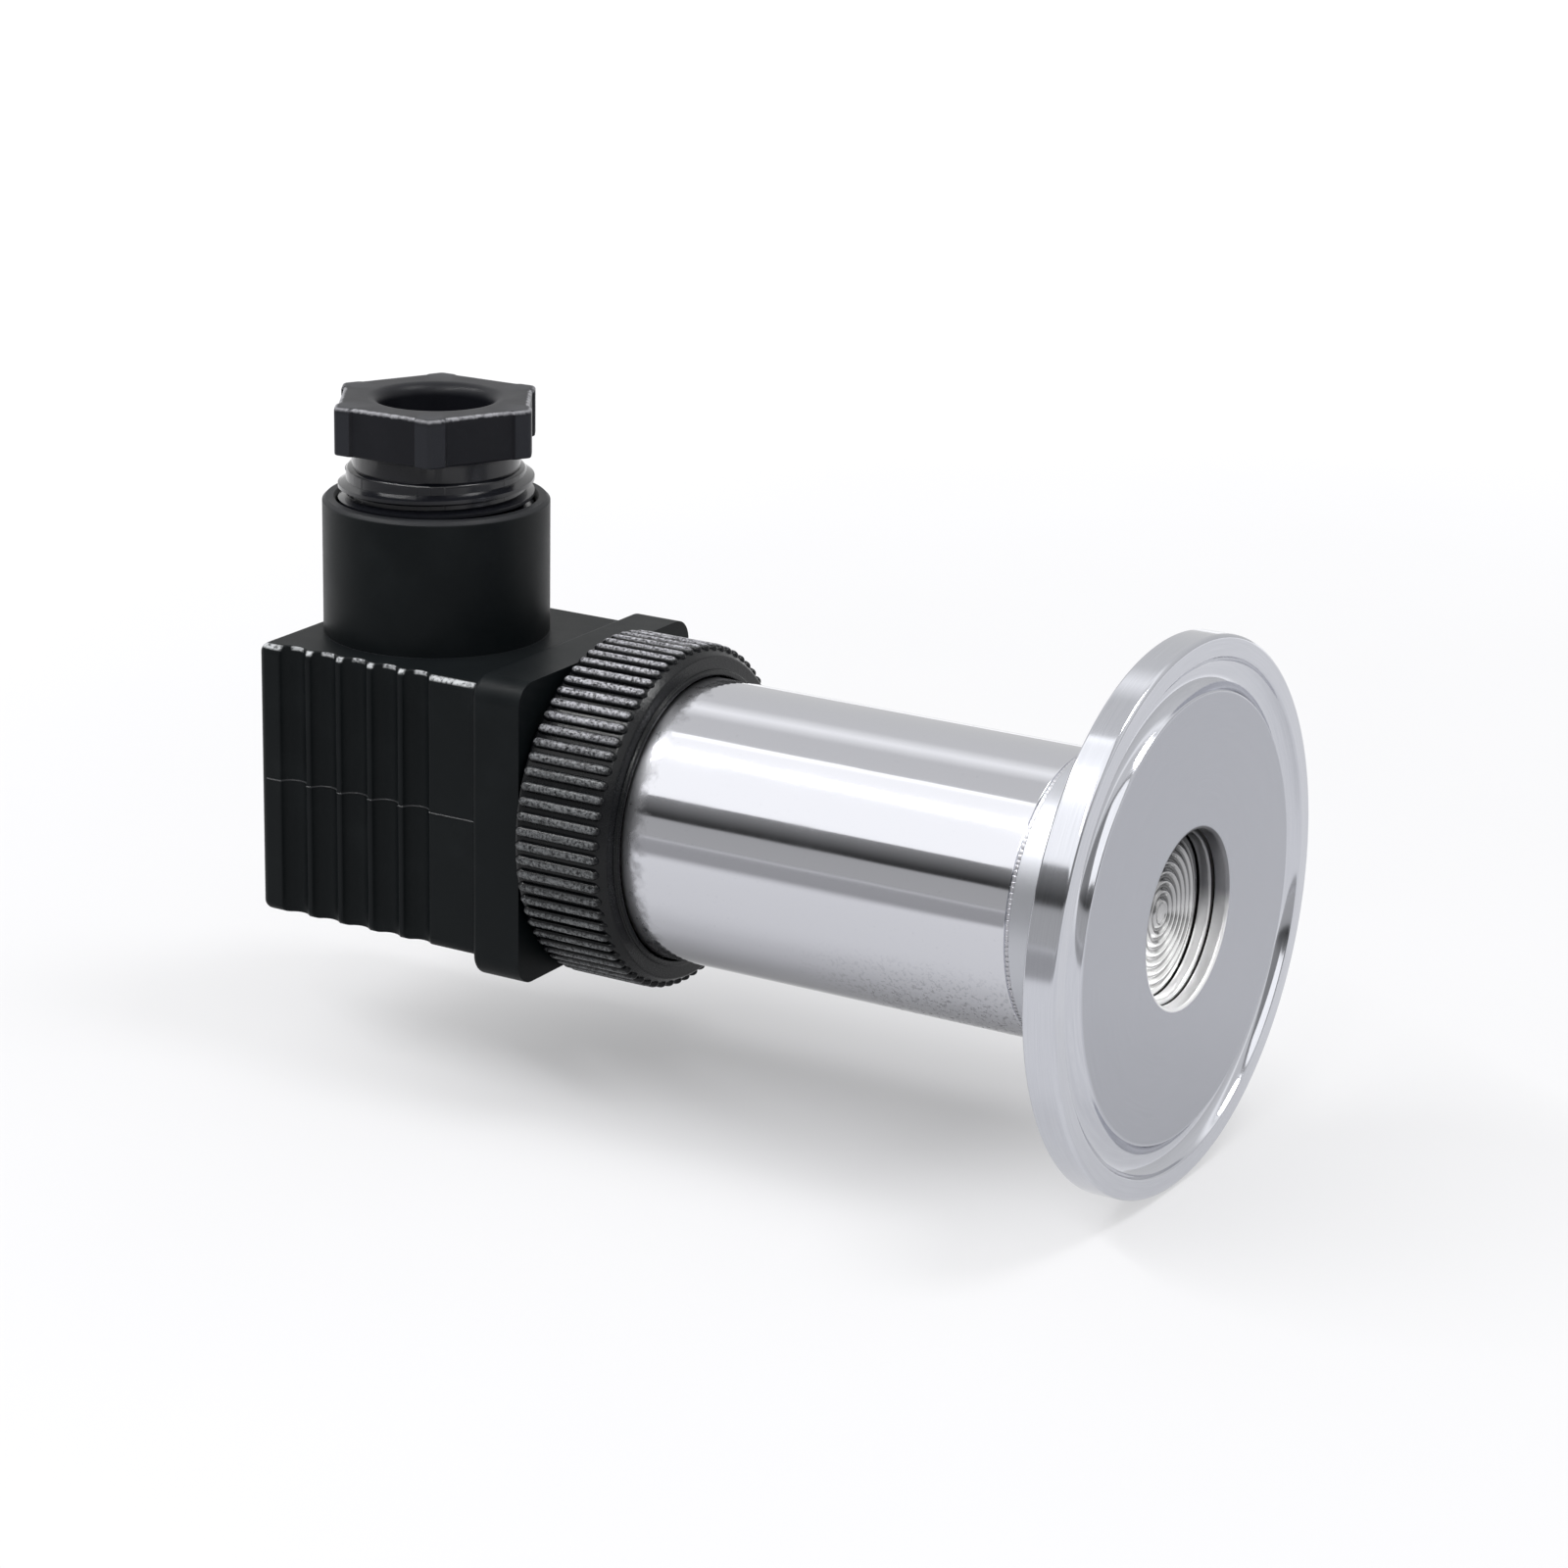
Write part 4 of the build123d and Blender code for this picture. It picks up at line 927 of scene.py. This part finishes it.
def build_union_ring():
    """Ring body with a beaded lip, and its ridges."""
    shoulder = ring_front - 0.3
    lip = TUBE_R + LIP_GAP
    body = [
        (ring_back, RING_BORE_R, 0.15),
        (ring_back, RING_VALLEY_R - 0.1, 0.25),
        (ring_back + 0.3, RING_VALLEY_R, 0.2),
        (shoulder - 0.75, RING_VALLEY_R, 0.3),
        (shoulder, RING_VALLEY_R - 0.55, 0.3),
        (shoulder, lip + 0.6, 0.12),
        (ring_front, lip + 0.55, 0.16),
        (ring_front, lip, 0.16),
        (ring_front - RING_LIP, lip, 0.1),
        (ring_front - RING_LIP, RING_BORE_R, 0.1),
    ]
    ridge = ball_ended_bar(ring_back + 0.15, shoulder - 0.55, RIDGE_R, ring_r - RIDGE_R)
    sizes = {"Count": RIDGE_COUNT, "Turn Step": 2 * math.pi / RIDGE_COUNT}
    ridges = around_tree.mesh(ring_black, ridge, sizes)
    whole = merged(turned(body, 4 * RIDGE_COUNT), ridges)
    piece("union_ring_moulded", whole, ring_black, "union_ring", ["knurled_ring"], 50)


# Gland nut


def from_flat(angle):
    """An angle round the nut, measured from the middle of the nearest flat."""
    return (angle - NUT_TURN) % (math.pi / 3) - math.pi / 6


def hexagon_reach(angle, inset=0.0):
    """How far the nut reaches at an angle: six panelled flats with rounded corners between them."""
    angle = from_flat(angle)
    flat = NUT_FLAT - inset
    half_side = (flat - NUT_CORNER_ROUND) * math.tan(math.pi / 6)
    aside = abs(flat * math.tan(angle))
    if aside <= half_side:
        panel = max(0.0, min(1.0, (NUT_PANEL_HALF + NUT_PANEL_SLOPE - aside) / NUT_PANEL_SLOPE))
        return (flat - NUT_PANEL_DEPTH * panel) / math.cos(angle)
    centre = Vector((flat - NUT_CORNER_ROUND, math.copysign(half_side, angle)))
    along = centre.dot(Vector((math.cos(angle), math.sin(angle))))
    return along + math.sqrt(along ** 2 - centre.length_squared + NUT_CORNER_ROUND ** 2)


def hexagon_angles():
    """Angles round the nut that fall on its corners and on the edges of its panels."""
    side = [-5.2, -5.05, -4.9, -4.5, -3.9, -3.66, -3.61, -3.57, -3.53, -3.45]
    side += [0.345 * k for k in range(-9, 10)] + [-aside for aside in reversed(side)]
    angles = []
    for k in range(6):
        middle = NUT_TURN + math.pi / 6 + k * math.pi / 3
        angles.append(middle - math.pi / 6)
        angles += [middle + math.atan2(aside, NUT_FLAT) for aside in side]
    return angles


def nut_body():
    """Hexagon, neck, spigot and cable hole, lofted level by level up the outside and down the hole."""
    angles = hexagon_angles()

    def level(z, reach_of):
        spokes = [(a, reach_of(a)) for a in angles]
        return [(gland_x + r * math.cos(a), r * math.sin(a), z) for a, r in spokes]

    def circle(z, radius):
        return level(z, lambda a: radius)

    def hexagon(z, inset):
        return level(z, lambda a: hexagon_reach(a, inset))

    levels = [circle(spigot_z, NUT_BORE_R + 0.1), circle(spigot_z, NUT_CORE_R - 0.35)]
    levels += [circle(spigot_z + 0.3, NUT_CORE_R), circle(neck_z - 0.25, NUT_CORE_R)]
    levels += [circle(neck_z, NUT_CORE_R - 0.2), circle(neck_z + 0.1, NUT_NECK_R)]
    neck, foot, edge = NUT_NECK_ROUND, NUT_FOOT_ROUND, NUT_EDGE_ROUND
    levels += [circle(hex_z - neck + neck * rise, NUT_NECK_R + neck * fall) for rise, fall in quarter(4)]
    levels += [hexagon(hex_z + foot * fall, foot * (1 - rise)) for rise, fall in quarter(3)]
    levels.append(hexagon(nut_top - WEAR_HEIGHT, 0))
    levels += [hexagon(nut_top - edge * (1 - rise), edge * fall) for rise, fall in quarter(5)]
    levels.append(hexagon(nut_top, edge + 0.5))
    levels.append(circle(nut_top, NUT_BORE_R + NUT_LEAD_IN + 0.2))
    for rise, fall in quarter(8):
        levels.append(circle(nut_top - NUT_LEAD_IN * fall, NUT_BORE_R + NUT_LEAD_IN * (1 - rise)))
    levels.append(circle(spigot_z + 0.1, NUT_BORE_R))
    return loft(levels)


def nut_thread():
    """The turns round the nut's spigot."""
    height = neck_z - spigot_z - THREAD_ENDS
    sizes = {"Turns": height / THREAD_PITCH, "Core": NUT_CORE_R * MM, "Height": height * MM,
             "Depth": (THREAD_CREST_R - NUT_CORE_R) * MM, "Root": THREAD_ROOT_WIDTH * MM,
             "Crest": THREAD_CREST_WIDTH * MM}
    thread = thread_tree.mesh(nut_black, bpy.data.meshes.new("thread"), sizes)
    thread.transform(Matrix.Translation(Vector((gland_x, 0, spigot_z + THREAD_START)) * MM))
    return outward(thread)


def mark_wear(mesh):
    """Stores where the nut is worn, 1 at its top edge, and where the strips by its corners are."""
    wear = mesh.attributes.new("wear", "FLOAT", "POINT")
    strip = mesh.attributes.new("strip", "FLOAT", "POINT")
    for point in mesh.vertices:
        x, y, z = point.co / MM
        out = math.hypot(x - gland_x, y)
        turn = math.atan2(y, x - gland_x)
        near_top = max(0.0, 1 - (nut_top - z) / WEAR_HEIGHT) if z > hex_z else 0.0
        near_rim = max(0.0, 1 - (hexagon_reach(turn) - out) / WEAR_WIDTH)
        worn = near_top * near_rim
        aside = abs(NUT_FLAT * math.tan(from_flat(turn)))
        on_strip = z > hex_z - 0.01 and out > NUT_FLAT - 0.4 and aside > NUT_PANEL_HALF + 0.1
        wear.data[point.index].value = worn
        strip.data[point.index].value = 1 - worn if on_strip else 0.0


def build_gland_nut():
    """The nut with its thread and its marks of wear."""
    nut = merged(nut_body(), nut_thread())
    piece("gland_nut_moulded", nut, nut_black, "nut", ["gland_nut"], 40)
    mark_wear(nut)


# Plug housing


def fluted_front():
    """Points (x, y) along the block's front, from its back edge to its skirt."""
    centre_y = -BLOCK_FRONT - FLUTE_R + FLUTE_DEPTH
    half_width = math.sqrt(FLUTE_R ** 2 - (FLUTE_R - FLUTE_DEPTH) ** 2)
    last = math.degrees(math.asin(half_width / FLUTE_R))
    steps = 16
    front = [(block_back + 0.9, -BLOCK_FRONT)]
    for i in range(FLUTE_COUNT):
        middle = first_flute + i * FLUTE_PITCH
        for k in range(steps + 1):
            angle = math.radians(-last + 2 * last * k / steps)
            front.append((middle + FLUTE_R * math.sin(angle), centre_y + FLUTE_R * math.cos(angle)))
    front.append((SKIRT_STEP + 0.05, -BLOCK_FRONT))
    return front


def build_plug():
    """The moulded housing with small rounds on its edges, and the thin line where its mould parts."""
    soft = softened_copy("plug_housing", 0.12)
    piece("plug_moulded", soft, plug_black, "plug", ["plug_housing"], 60)
    section = [(0.06, 0.0), (0.03, 0.10), (-0.075, 0.0), (0.03, -0.10)]
    rings = [[(x, y + out, PARTING_Z + up) for out, up in section] for x, y in fluted_front()]
    flash = loft(rings, closed_loop=False)
    piece("parting_line", flash, flash_black, "plug", crease=25)


around_tree = repeat_round()
thread_tree = screw_thread()
build_ferrule()
build_tube()
build_weld_ring()
build_diaphragm()
build_weld_seam()
build_union_ring()
build_gland_nut()
build_plug()


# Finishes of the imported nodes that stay

KEPT_NODES = {
    "sensor_capsule": satin_steel, "capsule_header": satin_steel, "retaining_ring": satin_steel,
    "header_pins": gold, "sensing_die": silicon, "capsule_o_ring": black_rubber, "base_o_ring": black_rubber,
    "circuit_board": board_green, "board_components": chip_black, "sensor_leads": lead_red,
    "connector_leads": lead_red, "connector_base": base_black, "thread_insert": brass,
    "contact_blades": tin, "earth_blade": tin, "flat_gasket": grey_rubber, "slip_washer": slip_white,
    "terminal_block": base_black, "contact_sockets": brass, "terminal_screws": zinc,
    "centre_screw": zinc, "screw_washer": black_rubber, "gland_grommet": black_rubber,
    "gland_washer": slip_white,
}
for node, finish in KEPT_NODES.items():
    data = nodes[node].data
    if not data.materials:
        data.materials.append(finish.material)
    for i in range(len(data.materials)):
        data.materials[i] = finish.material


# Studio: pale floor, soft lights, even surround and the camera

CAMERA_PLACE = Vector((159.9, -340.3, 130.5)) * MM
CAMERA_TARGET = Vector((-41.39, 0, 4.99)) * MM
CAMERA_ROLL = math.radians(1.12)
LENS = 103.93
SENSOR_WIDTH = 36.0
BLACK_LEVEL = 0.001
FLOOR_Z = cad_low.z - 0.0002
FLOOR_HALF = 3.0

# Soft edges of the floor's glow, of the shade under the part and of the dim zone in front, in millimetres
GLOW_SPREAD = (70.0, 900.0)
SHADE_Y = ((-30.0, -4.0), (4.0, 40.0))
SHADE_X = ((-90.0, -55.0), (-26.0, -2.0))
DIM_EDGE = (-128.0, -84.0)
DIM_EDGE_BEND = (-75.0, -25.0)
DIM_EDGE_SHIFT = 45.0

# Each light's name, place and size in metres, power in watts, and the place that it faces
LIGHTS = [
    ("front_box", (-0.10, -0.49, 0.755), (2.2, 0.92), 7.6, CAMERA_TARGET),
    ("front_strip", (-0.30, -0.43, 0.79), (1.3, 0.04), 7.0, CAMERA_TARGET),
    ("side_card", (0.156, 0.09, 0.57), (0.16, 0.16), 1.4, Vector((0, 0, 0))),
]

# Greys of the room by the angle over the floor in front, in degrees
ROOM_BANDS = [
    (-180, 0.50), (-2, 0.50), (0, 0.56), (14.5, 0.54), (15.5, 0.04), (17.5, 0.05), (23.5, 0.18), (31, 0.36),
    (84, 0.36), (86, 0.86), (108, 0.84), (119, 1.4), (130, 0.86), (180, 0.74),
]


def aim(thing, target, roll=0.0):
    """Turns a light or camera to look at a place, from where it stands."""
    back = thing.location - target
    turn = back.to_track_quat("Z", "Y").to_matrix() @ Matrix.Rotation(roll, 3, "Z")
    thing.rotation_euler = turn.to_euler()


def soft_light(name, place, size, power, target):
    """A rectangular soft light that faces its target."""
    light = bpy.data.lights.new(name, "AREA")
    light.shape = "RECTANGLE"
    light.size, light.size_y = size
    light.energy = power
    made = bpy.data.objects.new(name, light)
    bpy.context.scene.collection.objects.link(made)
    made.location = place
    aim(made, target)


def pale_sheet():
    """The floor's matt sheet. It glows a little, less in a zone in front of it, and less under the part as a
    painted shadow.
    """
    sheet = Finish("pale_sheet", (0.24, 0.24, 0.24), 0.7, specular_ior_level=0.0, emission_strength=1.0)
    sheet.give("Base Color", sheet.mix(sheet.noise(40.0), (0.235, 0.235, 0.24), (0.245, 0.245, 0.25)))
    far = sheet.node("ShaderNodeVectorMath", {"operation": "LENGTH"}, {0: sheet.place}, out="Value")
    spread = sheet.step(far, *GLOW_SPREAD)
    glow = sheet.mix(spread, (0.53, 0.53, 0.535), (1.10, 1.10, 1.105))
    # Painted shadow: the glow is dimmed under the part
    under = sheet.band(sheet.y, *SHADE_Y) * sheet.band(sheet.x, *SHADE_X)
    lit = sheet.mix(under * 0.42, glow, (0.06, 0.06, 0.065))
    front = sheet.mix(spread ** 3, (0.0, 0.0, 0.0), (0.41, 0.41, 0.415))
    edge = sheet.y + DIM_EDGE_SHIFT * sheet.step(sheet.x, *DIM_EDGE_BEND)
    sheet.give("Emission Color", sheet.mix(sheet.step(edge, *DIM_EDGE), front, lit))
    return sheet


def build_floor():
    """A pale floor, lit a little from below as on a light table."""
    mesh = bpy.data.meshes.new("floor")
    corners = [(x, y, FLOOR_Z) for x, y in ((-1, -1), (1, -1), (1, 1), (-1, 1))]
    mesh.from_pydata([(x * FLOOR_HALF, y * FLOOR_HALF, z) for x, y, z in corners], [], [(0, 1, 2, 3)])
    floor = bpy.data.objects.new("floor", mesh)
    bpy.context.scene.collection.objects.link(floor)
    mesh.materials.append(pale_sheet().material)


def build_surround():
    """A room of soft bands along the X axis: grey, a dark gap, the bright box, grey and a pale strip."""
    world = bpy.data.worlds.new("surround")
    bpy.context.scene.world = world
    world.use_nodes = True
    room = Graph(world.node_tree)
    world.node_tree.nodes.clear()
    way = room.node("ShaderNodeTexCoord", out="Generated")
    up = room.node("ShaderNodeSeparateXYZ", values={0: way}, out="Z")
    front = Wire(room, up.socket.node.outputs["Y"]) * -1
    turn = room.maths("ARCTAN2", up, front) * (0.5 / math.pi) + 0.5
    stops = [((angle + 180) / 360, grey) for angle, grey in ROOM_BANDS]
    shade = room.node("ShaderNodeValToRGB", {"stops": stops}, {0: turn})
    light = room.node("ShaderNodeBackground", values={"Color": shade, "Strength": 1.0})
    room.node("ShaderNodeOutputWorld", values={"Surface": light})


def build_camera():
    """The camera, where the photograph was taken from."""
    lens = bpy.data.cameras.new("camera")
    lens.lens = LENS
    lens.sensor_width = SENSOR_WIDTH
    lens.clip_start = 0.01
    camera = bpy.data.objects.new("camera", lens)
    bpy.context.scene.collection.objects.link(camera)
    camera.location = CAMERA_PLACE
    aim(camera, CAMERA_TARGET, CAMERA_ROLL)
    bpy.context.scene.camera = camera


def show_as_printed():
    """Plain display with its blacks set down a little, as in a catalogue print."""
    display = bpy.context.scene.view_settings
    display.view_transform = "Standard"
    display.use_curve_mapping = True
    display.curve_mapping.black_level = (BLACK_LEVEL,) * 3
    display.curve_mapping.update()


build_floor()
build_surround()
for light in LIGHTS:
    soft_light(*light)
build_camera()
show_as_printed()
